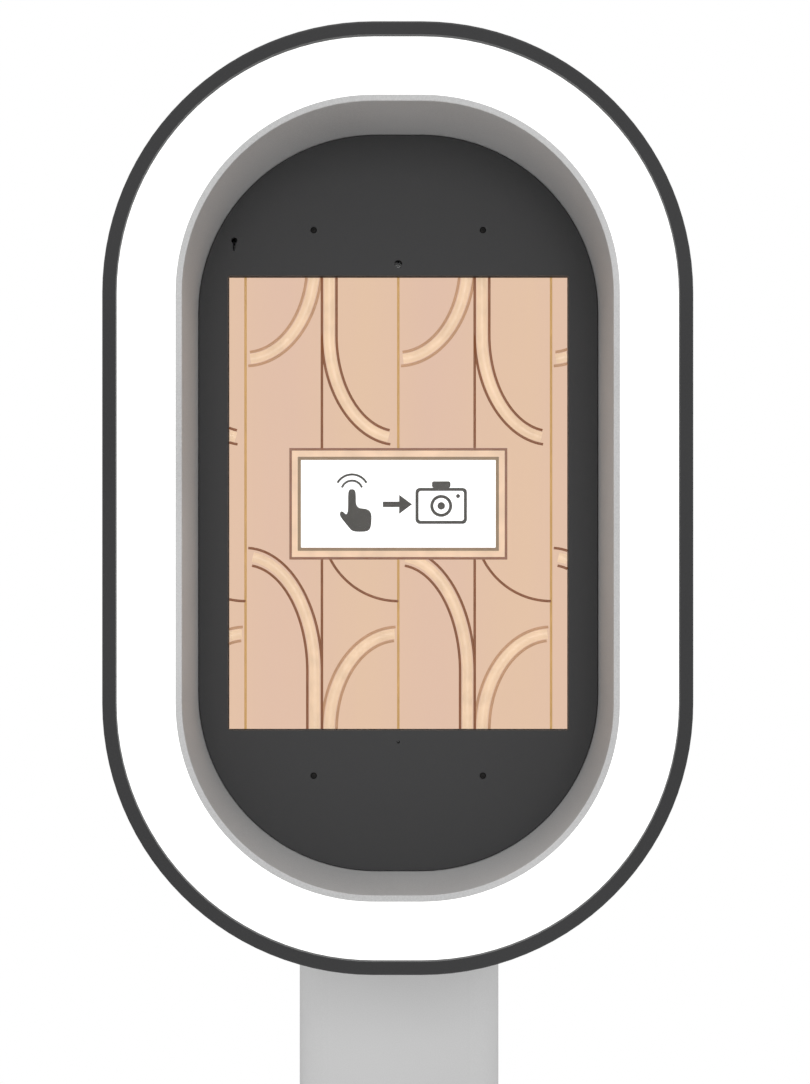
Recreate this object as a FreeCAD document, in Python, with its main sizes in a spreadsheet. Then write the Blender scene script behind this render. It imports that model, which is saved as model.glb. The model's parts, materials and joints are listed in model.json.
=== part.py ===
"""Free-standing photo booth: ring-light head with a tablet inside, on a telescopic column and a steel base.

Frame: +Z up, the front faces -Y, +X is the viewer's right, origin on the floor at the centre of the base.
Millimetres. The head's pieces are placed from its front plane (depth 0, growing backwards) and its centre.
"""
import FreeCAD, Part
import math
import os
import Sketcher

DIMENSIONS = [
    # head: its outline grows from the tablet outwards, and each ring follows it at an inset
    ("head_level", 1300), ("head_front", -136), ("front_depth", 46), ("seam_gap", 0.2),
    ("side_margin", 2.65), ("corner_margin", 1.5), ("end_margin", 3.55), ("top_flat", 26),
    ("rear_room", 4), ("shell_wall", 3), ("back_round", 20), ("rim_lip", 7.5), ("rim_thickness", 3),
    ("rim_round", 1.6),
    # light ring
    ("light_width", 32), ("diffuser_thickness", 2.5), ("tray_thickness", 2), ("strip_gap", 1.1),
    ("strip_width", 10), ("strip_thickness", 1.2), ("bezel_boss_inset", 6.4), ("bezel_boss_radius", 4),
    ("bezel_boss_length", 20),
    # reveal ring and faceplate
    ("reveal_lip", 3.5), ("reveal_setback", 0.5), ("reveal_wall", 2), ("flange_width", 8),
    ("flange_thickness", 2), ("recess_depth", 55), ("plate_thickness", 3), ("plate_gap", 0.4),
    ("window_clearance", 0.2), ("window_corner", 1.5), ("camera_hole", 2.3), ("sound_hole", 0.9),
    ("fixing_side", 49), ("fixing_reach", 12.3), ("keyhole_side", 95), ("keyhole_reach", 6.3),
    ("keyhole_radius", 1.8), ("keyhole_slot", 1.7), ("keyhole_length", 6), ("keeper_radius", 6),
    ("keeper_thickness", 1), ("magnet_radius", 5), ("magnet_thickness", 3), ("magnet_gap", 0.1),
    ("magnet_wall", 1.5), ("plate_screw_radius", 1.25), ("plate_screw_head", 1.7),
    ("plate_screw_sink", 0.3),
    # tablet and the cup that holds it
    ("tablet_gap", 1), ("tablet_width", 217), ("tablet_height", 285), ("tablet_thickness", 7),
    ("tablet_corner", 14), ("tablet_edge_round", 2), ("glass_thickness", 0.8), ("glass_margin", 1),
    ("screen_side_border", 10), ("screen_end_border", 11.05), ("display_thickness", 0.4),
    ("camera_inset", 4.1), ("lens_radius", 1.7), ("lens_thickness", 1.2), ("cup_wall", 2.9),
    ("cup_floor", 2), ("cup_clearance", 0.3), ("cup_ledge", 50), ("cup_boss_side", 75),
    ("cup_boss_radius", 4.5), ("cup_boss_reach", 4), ("clip_length", 20), ("clip_thickness", 1.6),
    ("clip_lip", 0.7), ("clip_hold", 2), ("clip_spacing", 20), ("button_length", 12), ("button_width", 2.6),
    ("button_depth", 1.6), ("button_proud", 0.7), ("button_travel", 0.4), ("button_notch", 3),
    ("button_spacing", 1.5), ("volume_inset", 42.5), ("volume_length", 24),
    # cradle plate, posts and screws
    ("cradle_thickness", 2), ("spacer_radius", 3), ("stud_radius", 1.6), ("fit_gap", 0.05),
    ("fit_play", 0.2), ("running_gap", 0.1), ("m3_radius", 1.5), ("m3_head", 2.8), ("m3_head_height", 1.8),
    ("m3_length", 10), ("m3_hole_depth", 12), ("tower_gap", 2), ("tower_radius", 6), ("tower_bore", 4.3),
    ("tower_bore_depth", 9), ("m4_radius", 2), ("m4_head", 3.8), ("m4_head_height", 3), ("vesa_pitch", 100),
    ("chassis_post_radius", 6), ("chassis_stud", 3),
    # rear panel and what is fixed to it
    ("panel_inset", 36), ("panel_ledge", 8), ("ledge_root", 4), ("ledge_thickness", 3),
    ("panel_thickness", 3), ("panel_clearance", 0.3), ("panel_screw_length", 6), ("vent_length", 90),
    ("vent_width", 4), ("vent_pitch", 9), ("vent_count", 6), ("upper_vent_drop", 63),
    ("lower_vent_rise", 42), ("control_margin", 17), ("inlet_rise", 110), ("inlet_width", 27),
    ("inlet_height", 47), ("inlet_corner", 3), ("inlet_depth", 28), ("inlet_flange", 2.5),
    ("inlet_border", 4), ("socket_width", 17), ("socket_height", 24), ("socket_depth", 17),
    ("pin_length", 11), ("pin_width", 4), ("pin_thickness", 2), ("pin_side", 2.5), ("pin_spread", 7),
    ("rocker_rise", 59), ("rocker_margin", 9), ("rocker_width", 13), ("rocker_height", 19),
    ("rocker_depth", 14), ("rocker_border", 2.5), ("rocker_flange", 1.8), ("rocker_wall", 1.2),
    ("rocker_tilt", 9), ("rocker_side_gap", 0.4), ("rocker_end_gap", 1), ("dimmer_rise", 100),
    ("pot_radius", 8.5), ("pot_depth", 12), ("pot_wall", 1.2), ("bushing_radius", 3.6),
    ("bushing_length", 7), ("shaft_radius", 3), ("knob_radius", 12), ("knob_height", 14),
    ("knob_bore_depth", 9.8), ("knob_bevel", 1.2), ("knob_grooves", 18), ("knob_groove_radius", 1.1),
    ("knob_gap", 1),
    # electronics
    ("driver_width", 44), ("driver_height", 150), ("driver_depth", 28), ("driver_round", 3),
    ("board_width", 44), ("board_height", 110), ("board_level", 10), ("board_standoff", 6),
    ("board_thickness", 1.6), ("standoff_inset", 5), ("module_width", 24), ("module_height", 32),
    ("module_depth", 12), ("module_rise", 27), ("sink_width", 9), ("sink_height", 30), ("sink_depth", 9),
    ("terminal_width", 30), ("terminal_height", 10), ("terminal_depth", 10), ("terminal_margin", 3),
    ("capacitor_radius", 5), ("capacitor_height", 14), ("supply_width", 64), ("supply_height", 40),
    ("supply_depth", 24), ("lead_radius", 1.5), ("led_lead_radius", 2), ("mains_lead_radius", 2.5),
    ("lead_hole", 6), ("lead_gap", 0.5), ("lead_offset", 5), ("plug_width", 9), ("plug_depth", 5),
    ("plug_corner", 1.5), ("plug_length", 18), ("charge_drop", 22), ("charge_rise", 37.5),
    ("led_lead_level", 60), ("driver_lead_length", 31.5),
    # tilt joint
    ("bracket_border", 8), ("bracket_thickness", 4), ("bracket_corner", 8), ("bracket_bolt_length", 18),
    ("axis_reach", 55), ("ear_gap", 60), ("ear_radius", 22), ("bolt_radius", 5), ("washer_radius", 18),
    ("washer_thickness", 1.5), ("bolt_head_radius", 8.5), ("bolt_head_height", 6.4),
    ("outer_washer_radius", 11), ("outer_washer_thickness", 2), ("star_radius", 22), ("star_lobe", 7),
    ("star_length", 18), ("star_hub", 16), ("star_bore_depth", 11), ("star_lobes", 6), ("lug_radius", 20),
    ("cap_drop", 60), ("cap_thickness", 8), ("cap_round", 2), ("plug_drop", 30),
    # column
    ("column_width", 131), ("column_depth", 70), ("column_corner", 20), ("column_wall", 2.5),
    ("column_gap", 35), ("glide_gap", 2), ("outer_wall", 3), ("lower_top", 860), ("slide_gap", 0.25),
    ("bush_length", 30), ("collar_border", 5), ("collar_below", 15), ("collar_above", 40),
    ("collar_clearance", 0.6), ("collar_boss_radius", 12), ("collar_boss_length", 10), ("pad_radius", 6),
    ("pad_thickness", 3), ("knob_stud_radius", 4), ("spring_radius", 11), ("spring_wall", 2.5),
    ("spring_cap", 6), ("spring_bottom", 60), ("spring_reserve", 42), ("spring_gap", 20),
    ("spring_foot", 6), ("rod_radius", 4), ("piston_gap", 0.5), ("piston_length", 12),
    ("piston_margin", 4), ("mast_plug_height", 25), ("stroke", 250),
    # base
    ("base_width", 420), ("base_depth", 400), ("base_corner", 70), ("base_thickness", 10),
    ("base_bevel", 2), ("rubber_height", 8), ("rubber_radius", 16), ("rubber_inset", 48),
    ("foot_border", 24), ("foot_thickness", 10), ("foot_height", 50), ("foot_wall", 6),
    ("m6_radius", 3), ("m6_head", 5.5), ("m6_head_height", 3.3), ("m6_length", 12), ("foot_screw_inset", 12),
]

doc = FreeCAD.newDocument("PhotoBooth")
sheet = doc.addObject("Spreadsheet::Sheet", "Sizes")
for row, (alias, number) in enumerate(DIMENSIONS, start=1):
    sheet.set(f"A{row}", alias.replace("_", " "))
    sheet.set(f"B{row}", str(number))
    sheet.setAlias(f"B{row}", alias)
doc.recompute()


class Size:
    """A length, or a ratio of lengths, that carries both its value and the sheet formula behind it."""

    def __init__(self, value, text):
        self.value = float(value)
        self.text = text

    def __add__(self, other):
        return Size(self.value + float(other), f"({self.text} + {text_of(other)})")

    def __radd__(self, other):
        return Size(float(other) + self.value, f"({text_of(other)} + {self.text})")

    def __sub__(self, other):
        return Size(self.value - float(other), f"({self.text} - {text_of(other)})")

    def __rsub__(self, other):
        return Size(float(other) - self.value, f"({text_of(other)} - {self.text})")

    def __mul__(self, other):
        return Size(self.value * float(other), f"({self.text} * {text_of(other)})")

    __rmul__ = __mul__

    def __truediv__(self, other):
        return Size(self.value / float(other), f"({self.text} / {text_of(other)})")

    def __neg__(self):
        return Size(-self.value, f"(-{self.text})")

    def __float__(self):
        return self.value


class Sheet:
    """Reads a size from the spreadsheet by its alias."""

    def __getattr__(self, alias):
        return Size(sheet.get(alias), f"Sizes.{alias}")


def text_of(size):
    """The formula of a size, or a plain number as text."""
    return size.text if isinstance(size, Size) else f"{float(size):.6f}"


def root(size):
    """The square root of a size."""
    return Size(math.sqrt(size.value), f"sqrt({size.text})")


def bind(thing, name, size):
    """Ties a property to the sheet."""
    thing.setExpression(name, text_of(size))


s = Sheet()
V = FreeCAD.Vector

# Places that several pieces share -------------------------------------------------------------------------
# Insets from the head's outline
REVEAL = s.rim_lip + s.light_width + s.reveal_lip           # wall of the recess
TUBE = REVEAL - s.reveal_wall                               # reveal ring's outer face
FLANGE = TUBE - s.flange_width                              # cradle plate's edge
SPACER = FLANGE + s.flange_width / 2                        # spacers and their screws
TOWER = FLANGE - s.tower_radius - s.tower_gap               # rear shell's screw towers
PANEL_SCREW = s.panel_inset + s.panel_ledge / 2             # rear panel's screws
STRIP = s.bezel_boss_inset + s.bezel_boss_radius + s.strip_gap   # light strip, inside the bezel's bosses
LEAD_INSET = STRIP + s.strip_width + s.led_lead_radius + s.lead_gap

# Depths behind the head's front plane
TRAY_FRONT = s.front_depth - s.tray_thickness
PLATE_BACK = s.recess_depth + s.plate_thickness
GLASS = PLATE_BACK + s.tablet_gap                           # tablet's front
GLASS_BACK = GLASS + s.glass_thickness
TABLET_MIDDLE = GLASS + s.tablet_thickness / 2
TABLET_BACK = GLASS + s.tablet_thickness
CRADLE = TABLET_BACK + s.cup_floor                          # cradle plate's front
CRADLE_BACK = CRADLE + s.cradle_thickness
PANEL = CRADLE_BACK + s.driver_depth + s.rear_room          # rear panel's inner face
HEAD_DEPTH = PANEL + s.panel_thickness
LEDGE = PANEL - s.ledge_thickness
BRACKET_BACK = HEAD_DEPTH + s.bracket_thickness
BOLT_TIP = BRACKET_BACK - s.bracket_bolt_length
AXIS = HEAD_DEPTH + s.axis_reach                            # tilt axis
COLUMN_FRONT = HEAD_DEPTH + s.column_gap
COLUMN_CENTRE = COLUMN_FRONT + s.column_depth / 2
SUPPLY_BACK = CRADLE_BACK + s.supply_depth
LEAD_DEPTH = CRADLE_BACK + s.supply_depth * 0.6             # where leads run behind the cradle plate
BOARD_BACK = CRADLE_BACK + s.board_standoff + s.board_thickness
ROCKER_AXIS = HEAD_DEPTH - s.rocker_depth / 3
KNOB_FRONT = PANEL + s.bushing_length + s.knob_gap
SHAFT_END = KNOB_FRONT + s.knob_bore_depth

# The head's outline, from the tablet's cup and clips outwards
CUP_HALF_WIDTH = s.tablet_width / 2 + s.cup_clearance + s.cup_wall
CUP_HALF_HEIGHT = s.tablet_height / 2 + s.cup_clearance + s.cup_wall
CUP_CORNER = s.tablet_corner + s.cup_clearance + s.cup_wall
CLIP_OUTSIDE = CUP_HALF_WIDTH + s.fit_gap + s.clip_thickness
RECESS_HALF_WIDTH = CLIP_OUTSIDE + s.side_margin
RECESS_CORNER = RECESS_HALF_WIDTH - s.top_flat / 2
CORNER_SIDE = CUP_HALF_WIDTH - CUP_CORNER - s.top_flat / 2  # from the recess's arc centre to the cup's
CORNER_REACH = RECESS_CORNER - CUP_CORNER - s.corner_margin
CORNER_RISE = root(CORNER_REACH * CORNER_REACH - CORNER_SIDE * CORNER_SIDE)
END_ROOM = RECESS_CORNER - CUP_CORNER - CORNER_RISE + s.end_margin
HEAD_WIDTH = (RECESS_HALF_WIDTH + REVEAL) * 2
HEAD_HEIGHT = (CUP_HALF_HEIGHT + END_ROOM + REVEAL) * 2
HEAD_CORNER = RECESS_CORNER + REVEAL

# Spots in the head, from its centre
DISPLAY_WIDTH = s.tablet_width - s.screen_side_border * 2
DISPLAY_HEIGHT = s.tablet_height - s.screen_end_border * 2
CAMERA_LEVEL = s.tablet_height / 2 - s.camera_inset
KEYHOLE_LEVEL = CUP_HALF_HEIGHT + s.keyhole_reach
FIXING_LEVEL = CUP_HALF_HEIGHT + s.fixing_reach
POST_RADIUS = s.magnet_radius + s.magnet_wall
BUTTON_SIDE = s.cup_boss_side - s.cup_boss_radius - s.button_spacing - s.button_notch - s.button_length / 2
VOLUME_LEVEL = s.tablet_height / 2 - s.volume_inset
CLIP_LEVEL = VOLUME_LEVEL - s.volume_length / 2 - s.button_notch - s.clip_spacing - s.clip_length / 2
PLUG_END = -(s.tablet_height / 2 + s.plug_length)           # lower end of the charge plug
CHARGE_LOW = PLUG_END - s.charge_drop
PANEL_HALF_WIDTH = HEAD_WIDTH / 2 - s.panel_inset
PANEL_HALF_HEIGHT = HEAD_HEIGHT / 2 - s.panel_inset
CONTROL_SIDE = PANEL_HALF_WIDTH - s.control_margin - s.inlet_width / 2 - s.inlet_border
INLET_LEVEL = s.inlet_rise - PANEL_HALF_HEIGHT
ROCKER_LEVEL = s.rocker_rise - PANEL_HALF_HEIGHT
ROCKER_ARC = HEAD_CORNER - s.panel_inset - s.rocker_margin  # the switch's lower corner stays inside this arc
ROCKER_DROP = ROCKER_ARC + s.rocker_margin - s.rocker_rise + s.rocker_height / 2 + s.rocker_border
ROCKER_REACH = root(ROCKER_ARC * ROCKER_ARC - ROCKER_DROP * ROCKER_DROP)
ROCKER_SIDE = s.top_flat / 2 + ROCKER_REACH - s.rocker_width / 2 - s.rocker_border
DIMMER_LEVEL = s.dimmer_rise - PANEL_HALF_HEIGHT
SUPPLY_LEVEL = CHARGE_LOW + s.charge_rise + s.supply_height / 2
DRIVER_LEVEL = INLET_LEVEL + s.inlet_height / 2 + s.driver_lead_length + s.driver_height / 2
POST_EDGE = s.vesa_pitch / 2 + s.chassis_post_radius
MODULE_SIDE = (POST_EDGE + HEAD_WIDTH / 2 - SPACER - s.m3_head) / 2    # between a post and a screw's head
TERMINAL_LEVEL = s.board_level - s.board_height / 2 + s.terminal_margin + s.terminal_height / 2

# The column, from the floor
COLUMN_Y = s.head_front + COLUMN_CENTRE
EAR_FACE = s.ear_gap / 2
EAR_BACK = EAR_FACE + s.bracket_thickness
STAR_START = EAR_BACK + s.outer_washer_thickness
COLUMN_TOP = s.head_level - s.cap_drop
BORE_WIDTH = s.column_width + s.glide_gap * 2               # inside of the lower column
BORE_DEPTH = s.column_depth + s.glide_gap * 2
BORE_CORNER = s.column_corner + s.glide_gap
LOWER_WIDTH = BORE_WIDTH + s.outer_wall * 2
LOWER_DEPTH = BORE_DEPTH + s.outer_wall * 2
LOWER_CORNER = BORE_CORNER + s.outer_wall
BASE_TOP = s.rubber_height + s.base_thickness
FOOT_TOP = BASE_TOP + s.foot_thickness
FOOT_SCREW_LEVEL = FOOT_TOP + s.foot_height / 2
COLLAR_LEVEL = s.lower_top + s.collar_above / 2             # level of the height lock's stud
COLLAR_BACK = LOWER_DEPTH / 2 + s.collar_border             # from the column's centre
SPRING_BORE_TOP = (s.spring_bottom + s.spring_cap + s.spring_reserve + s.piston_length + s.stroke
                   + s.piston_margin)
SPRING_TOP = SPRING_BORE_TOP + s.spring_cap
COLUMN_BOTTOM = SPRING_TOP + s.spring_gap

HEAD_PLACE = (0, s.head_front, s.head_level)
TILT_PLACE = (0, s.head_front + AXIS, s.head_level)
COLUMN_PLACE = (0, COLUMN_Y, 0)
FLOOR_PLACE = (0, 0, 0)
BACKWARDS = {"XZ": -1, "XY": 1, "YZ": 1}                    # which way each origin plane's normal points

parts = []


# Sketches --------------------------------------------------------------------------------------------------
def tie(sketch, kind, *geometry, size):
    """Adds a dimension to a sketch and ties it to the sheet."""
    index = sketch.addConstraint(Sketcher.Constraint(kind, *geometry, float(size)))
    bind(sketch, f"Constraints[{index}]", size)


def rounded(width, height, radius):
    """Draws a centred rounded rectangle."""
    def draw(sketch):
        half_w, half_h, r = float(width) / 2, float(height) / 2, float(radius)
        quarter = math.pi / 2
        x, y = half_w - r, half_h - r
        corners = [V(x, y, 0), V(-x, y, 0), V(-x, -y, 0), V(x, -y, 0)]
        for turn, corner in enumerate(corners):
            circle = Part.Circle(corner, V(0, 0, 1), r)
            sketch.addGeometry(Part.ArcOfCircle(circle, turn * quarter, (turn + 1) * quarter), False)
        for turn, corner in enumerate(corners):
            out = [V(0, r, 0), V(-r, 0, 0), V(0, -r, 0), V(r, 0, 0)][turn]
            sketch.addGeometry(Part.LineSegment(corner + out, corners[(turn + 1) % 4] + out), False)
        for turn in range(4):
            line, after = 4 + turn, (turn + 1) % 4
            sketch.addConstraint(Sketcher.Constraint("Tangent", turn, 2, line, 1))
            sketch.addConstraint(Sketcher.Constraint("Tangent", line, 2, after, 1))
            sketch.addConstraint(Sketcher.Constraint("Horizontal" if turn % 2 == 0 else "Vertical", line))
            if turn:
                sketch.addConstraint(Sketcher.Constraint("Equal", 0, turn))
        sketch.addConstraint(Sketcher.Constraint("Symmetric", 0, 3, 2, 3, -1, 1))
        tie(sketch, "Radius", 0, size=radius)
        tie(sketch, "DistanceX", 1, 3, 0, 3, size=width - radius * 2)
        tie(sketch, "DistanceY", 3, 3, 0, 3, size=height - radius * 2)
    return draw


def rectangle(width, height):
    """Draws a centred rectangle with square corners."""
    def draw(sketch):
        x, y = float(width) / 2, float(height) / 2
        corners = [V(-x, -y, 0), V(x, -y, 0), V(x, y, 0), V(-x, y, 0)]
        for n in range(4):
            sketch.addGeometry(Part.LineSegment(corners[n], corners[(n + 1) % 4]), False)
        for n in range(4):
            sketch.addConstraint(Sketcher.Constraint("Coincident", n, 2, (n + 1) % 4, 1))
            sketch.addConstraint(Sketcher.Constraint("Horizontal" if n % 2 == 0 else "Vertical", n))
        sketch.addConstraint(Sketcher.Constraint("Symmetric", 0, 1, 2, 1, -1, 1))
        tie(sketch, "DistanceX", 0, 1, 0, 2, size=width)
        tie(sketch, "DistanceY", 1, 1, 1, 2, size=height)
    return draw


def discs(radius, centres=((0, 0),)):
    """Draws equal circles at the given centres."""
    def draw(sketch):
        for n, (x, y) in enumerate(centres):
            sketch.addGeometry(Part.Circle(V(float(x), float(y), 0), V(0, 0, 1), float(radius)), False)
            tie(sketch, "DistanceX", -1, 1, n, 3, size=x)
            tie(sketch, "DistanceY", -1, 1, n, 3, size=y)
            tie(sketch, "Radius", n, size=radius)
    return draw


def hexagon(radius):
    """Draws a centred hexagon with its corners on a circle."""
    def draw(sketch):
        reach = V(float(radius), 0, 0)
        ring = [FreeCAD.Rotation(V(0, 0, 1), 60 * n).multVec(reach) for n in range(6)]
        for n in range(6):
            sketch.addGeometry(Part.LineSegment(ring[n], ring[(n + 1) % 6]), False)
        circle = sketch.addGeometry(Part.Circle(V(0, 0, 0), V(0, 0, 1), float(radius)), True)
        sketch.addConstraint(Sketcher.Constraint("Coincident", circle, 3, -1, 1))
        for n in range(6):
            sketch.addConstraint(Sketcher.Constraint("Coincident", n, 2, (n + 1) % 6, 1))
            sketch.addConstraint(Sketcher.Constraint("PointOnObject", n, 1, circle))
            if n:
                sketch.addConstraint(Sketcher.Constraint("Equal", 0, n))
        sketch.addConstraint(Sketcher.Constraint("PointOnObject", 0, 1, -1))
        tie(sketch, "Radius", circle, size=radius)
    return draw


def head_outline(inset, draw=rounded):
    """The head's outline moved inwards by an inset."""
    return draw(HEAD_WIDTH - inset * 2, HEAD_HEIGHT - inset * 2, HEAD_CORNER - inset)


def outline_points(inset, corner_angles, sides=()):
    """Points on the head's outline at an inset: some on each corner's arc, others on the straight sides."""
    reach_x, reach_z = HEAD_WIDTH / 2 - HEAD_CORNER, HEAD_HEIGHT / 2 - HEAD_CORNER
    radius = HEAD_CORNER - inset
    points = []
    for right in (1, -1):
        for up in (1, -1):
            for turn in map(math.radians, corner_angles):
                x = reach_x + radius * math.cos(turn)
                z = reach_z + radius * math.sin(turn)
                points.append((right * x, up * z))
        points += [(right * (HEAD_WIDTH / 2 - inset), share * reach_z) for share in sides]
    return points


def corners_of(half_x, half_y):
    """The four corners of a centred rectangle."""
    return [(x * half_x, y * half_y) for x in (1, -1) for y in (1, -1)]


# Bodies ----------------------------------------------------------------------------------------------------
def body(label, place):
    """A PartDesign body whose placement is tied to the sheet."""
    made = doc.addObject("PartDesign::Body", label)
    made.Label = label
    for axis, size in zip("xyz", place):
        bind(made, f"Placement.Base.{axis}", size)
    parts.append(made)
    return made


def sketch_on(owner, plane, level, shift, draw):
    """A sketch on one of the body's origin planes, moved along the plane's normal axis to a level."""
    sketch = owner.newObject("Sketcher::SketchObject", "Sketch")
    role = plane + "_Plane"
    sketch.AttachmentSupport = [(next(f for f in owner.Origin.OriginFeatures if f.Role == role), "")]
    sketch.MapMode = "FlatFace"
    bind(sketch, "AttachmentOffset.Base.x", shift[0])
    bind(sketch, "AttachmentOffset.Base.y", shift[1])
    bind(sketch, "AttachmentOffset.Base.z", level * BACKWARDS[plane])
    draw(sketch)
    return sketch


def pad(owner, plane, start, stop, draw, shift=(0, 0)):
    """Adds material from one level to a higher one."""
    sketch = sketch_on(owner, plane, start, shift, draw)
    made = owner.newObject("PartDesign::Pad", "Pad")
    made.Profile = sketch
    made.Reversed = BACKWARDS[plane] < 0
    bind(made, "Length", stop - start)
    return made


def pocket(owner, plane, start, stop, draw, shift=(0, 0)):
    """Removes material from one level to a higher one."""
    sketch = sketch_on(owner, plane, start, shift, draw)
    made = owner.newObject("PartDesign::Pocket", "Pocket")
    made.Profile = sketch
    made.Reversed = BACKWARDS[plane] > 0
    bind(made, "Length", stop - start)
    return made


def flat_edges(feature, axis, level):
    """Names of a feature's edges that lie wholly at one level of an axis."""
    doc.recompute()
    names = []
    for n, edge in enumerate(feature.Shape.Edges, start=1):
        box = edge.BoundBox
        low, high = getattr(box, axis + "Min"), getattr(box, axis + "Max")
        if abs(low - float(level)) < 1e-4 and abs(high - float(level)) < 1e-4:
            names.append(f"Edge{n}")
    return names


def dress(owner, kind, feature, edges, size):
    """Rounds or chamfers edges of a feature."""
    made = owner.newObject("PartDesign::" + kind, kind)
    made.Base = (feature, edges)
    bind(made, "Radius" if kind == "Fillet" else "Size", size)
    return made


def repeat_along(owner, feature, axis, length, count):
    """Repeats a feature along one axis of its own sketch."""
    made = owner.newObject("PartDesign::LinearPattern", "LinearPattern")
    made.Originals = [feature]
    made.Direction = (feature.Profile[0], [axis])
    bind(made, "Length", length)
    bind(made, "Occurrences", count)
    owner.Tip = made
    return made


def repeat_around(owner, feature, count):
    """Repeats a feature around its own sketch's normal."""
    made = owner.newObject("PartDesign::PolarPattern", "PolarPattern")
    made.Originals = [feature]
    made.Axis = (feature.Profile[0], ["N_Axis"])
    made.Angle = 360
    bind(made, "Occurrences", count)
    owner.Tip = made
    return made


def placed(label, shape, place):
    """A node whose shape is made from Part's own functions, at a place from the sheet."""
    made = doc.addObject("Part::Feature", label)
    made.Label = label
    made.Shape = shape
    for axis, size in zip("xyz", place):
        bind(made, f"Placement.Base.{axis}", size)
    parts.append(made)
    return made


def at_depth(spots, depth):
    """Points (x, z) of the head as vectors at one depth."""
    return [V(float(x), float(depth), float(z)) for x, z in spots]


def screw(seat, way, shank, length, head, height, socket):
    """A screw with a domed hexagon-socket head, its head's underside at seat and its tip pointing way."""
    made = Part.makeCylinder(shank, length, seat, way).fuse(Part.makeCylinder(head, height, seat, -way))
    crown = seat - way * height
    rim = [e for e in made.Edges if len(e.Vertexes) == 1 and (e.Curve.Center - crown).Length < 1e-4]
    made = made.makeFillet(min(0.45 * height, 0.3 * head), rim)
    side = way.cross(V(0, 0, 1)) if abs(way.z) < 0.5 else V(1, 0, 0)
    ring = [crown + FreeCAD.Rotation(way, 60 * n).multVec(side.normalize() * socket) for n in range(7)]
    return made.cut(Part.Face(Part.makePolygon(ring)).extrude(way * (height * 0.55)))


def group(shapes):
    """Separate solids kept as one node."""
    return Part.makeCompound([solid for shape in shapes for solid in shape.Solids])


def routed(points, radius):
    """A round lead along straight runs joined by tangent arcs as large as the runs allow."""
    edges, start = [], points[0]
    for before, corner, after in zip(points, points[1:], points[2:]):
        inward, outward = (before - corner), (after - corner)
        half_turn = (math.pi - inward.getAngle(outward)) / 2
        trim = 0.45 * min(inward.Length, outward.Length)
        first = corner + inward.normalize() * trim
        last = corner + outward.normalize() * trim
        bend = trim / math.tan(half_turn)
        middle = corner + (inward + outward).normalize() * (bend / math.cos(half_turn) - bend)
        edges += [Part.LineSegment(start, first).toShape(), Part.Arc(first, middle, last).toShape()]
        start = last
    edges.append(Part.LineSegment(start, points[-1]).toShape())
    path = Part.Wire(edges)
    ring = Part.makeCircle(radius, points[0], points[1] - points[0])
    made = path.makePipeShell([Part.Wire([ring])], True, True)
    expected = math.pi * radius ** 2 * path.Length
    if abs(made.Volume - expected) > 0.03 * expected:
        raise ValueError(f"lead of {path.Length:.0f} mm has volume {made.Volume:.0f}, not {expected:.0f}")
    return made


# Where the head's screws and bosses stand ------------------------------------------------------------------
BEZEL_BOSSES = outline_points(s.bezel_boss_inset, (22, 55, 80), ())
SPACERS = outline_points(SPACER, (30, 72), (0,))
TOWERS = outline_points(TOWER, (12, 65))
PANEL_SCREWS = outline_points(PANEL_SCREW, (25, 78), (0,))
PLATE_FIXINGS = corners_of(s.fixing_side, FIXING_LEVEL)
VESA_HOLES = corners_of(s.vesa_pitch / 2, s.vesa_pitch / 2)
CUP_BOSSES = corners_of(s.cup_boss_side, CUP_HALF_HEIGHT + s.cup_boss_reach)
M3_HOLE = s.m3_radius + s.fit_gap


# Light ring ------------------------------------------------------------------------------------------------
def front_bezel():
    """Moulded front frame: outer wall, thin lip round the light, and bosses for the light tray."""
    made = body("front_bezel", HEAD_PLACE)
    rim = pad(made, "XZ", 0, s.front_depth - s.seam_gap, head_outline(0))
    dress(made, "Fillet", rim, flat_edges(rim, "Y", 0), s.rim_round)
    pocket(made, "XZ", 0, s.rim_thickness, head_outline(s.rim_lip))
    pocket(made, "XZ", s.rim_thickness, s.front_depth, head_outline(s.shell_wall))
    boss_front = TRAY_FRONT - s.bezel_boss_length
    pad(made, "XZ", boss_front, TRAY_FRONT, discs(s.bezel_boss_radius, BEZEL_BOSSES))
    pocket(made, "XZ", TRAY_FRONT - s.m3_hole_depth, TRAY_FRONT, discs(M3_HOLE, BEZEL_BOSSES))


def light_diffuser():
    """Opal sheet that spreads the light, held between the bezel's lip and the reveal ring's lip."""
    made = body("light_diffuser", HEAD_PLACE)
    back = s.rim_thickness + s.diffuser_thickness
    pad(made, "XZ", s.rim_thickness, back, head_outline(s.shell_wall + s.fit_play))
    pocket(made, "XZ", s.rim_thickness, back, head_outline(TUBE - s.fit_play))


def light_tray():
    """White metal ring that carries the light strip and ties the head's rings together."""
    made = body("light_tray", HEAD_PLACE)
    pad(made, "XZ", TRAY_FRONT, s.front_depth, head_outline(s.shell_wall + s.fit_play))
    pocket(made, "XZ", TRAY_FRONT, s.front_depth, head_outline(TUBE - s.fit_play))
    pocket(made, "XZ", TRAY_FRONT, s.front_depth, discs(M3_HOLE, BEZEL_BOSSES))
    pocket(made, "XZ", TRAY_FRONT, s.front_depth, discs(s.stud_radius + s.fit_gap, SPACERS))
    pocket(made, "XZ", TRAY_FRONT, s.front_depth, discs(s.m4_radius + s.fit_gap, TOWERS))
    lead_spot = (LEAD_INSET - HEAD_WIDTH / 2, s.led_lead_level)
    pocket(made, "XZ", TRAY_FRONT, s.front_depth, discs(s.led_lead_radius + s.fit_gap, [lead_spot]))


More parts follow.
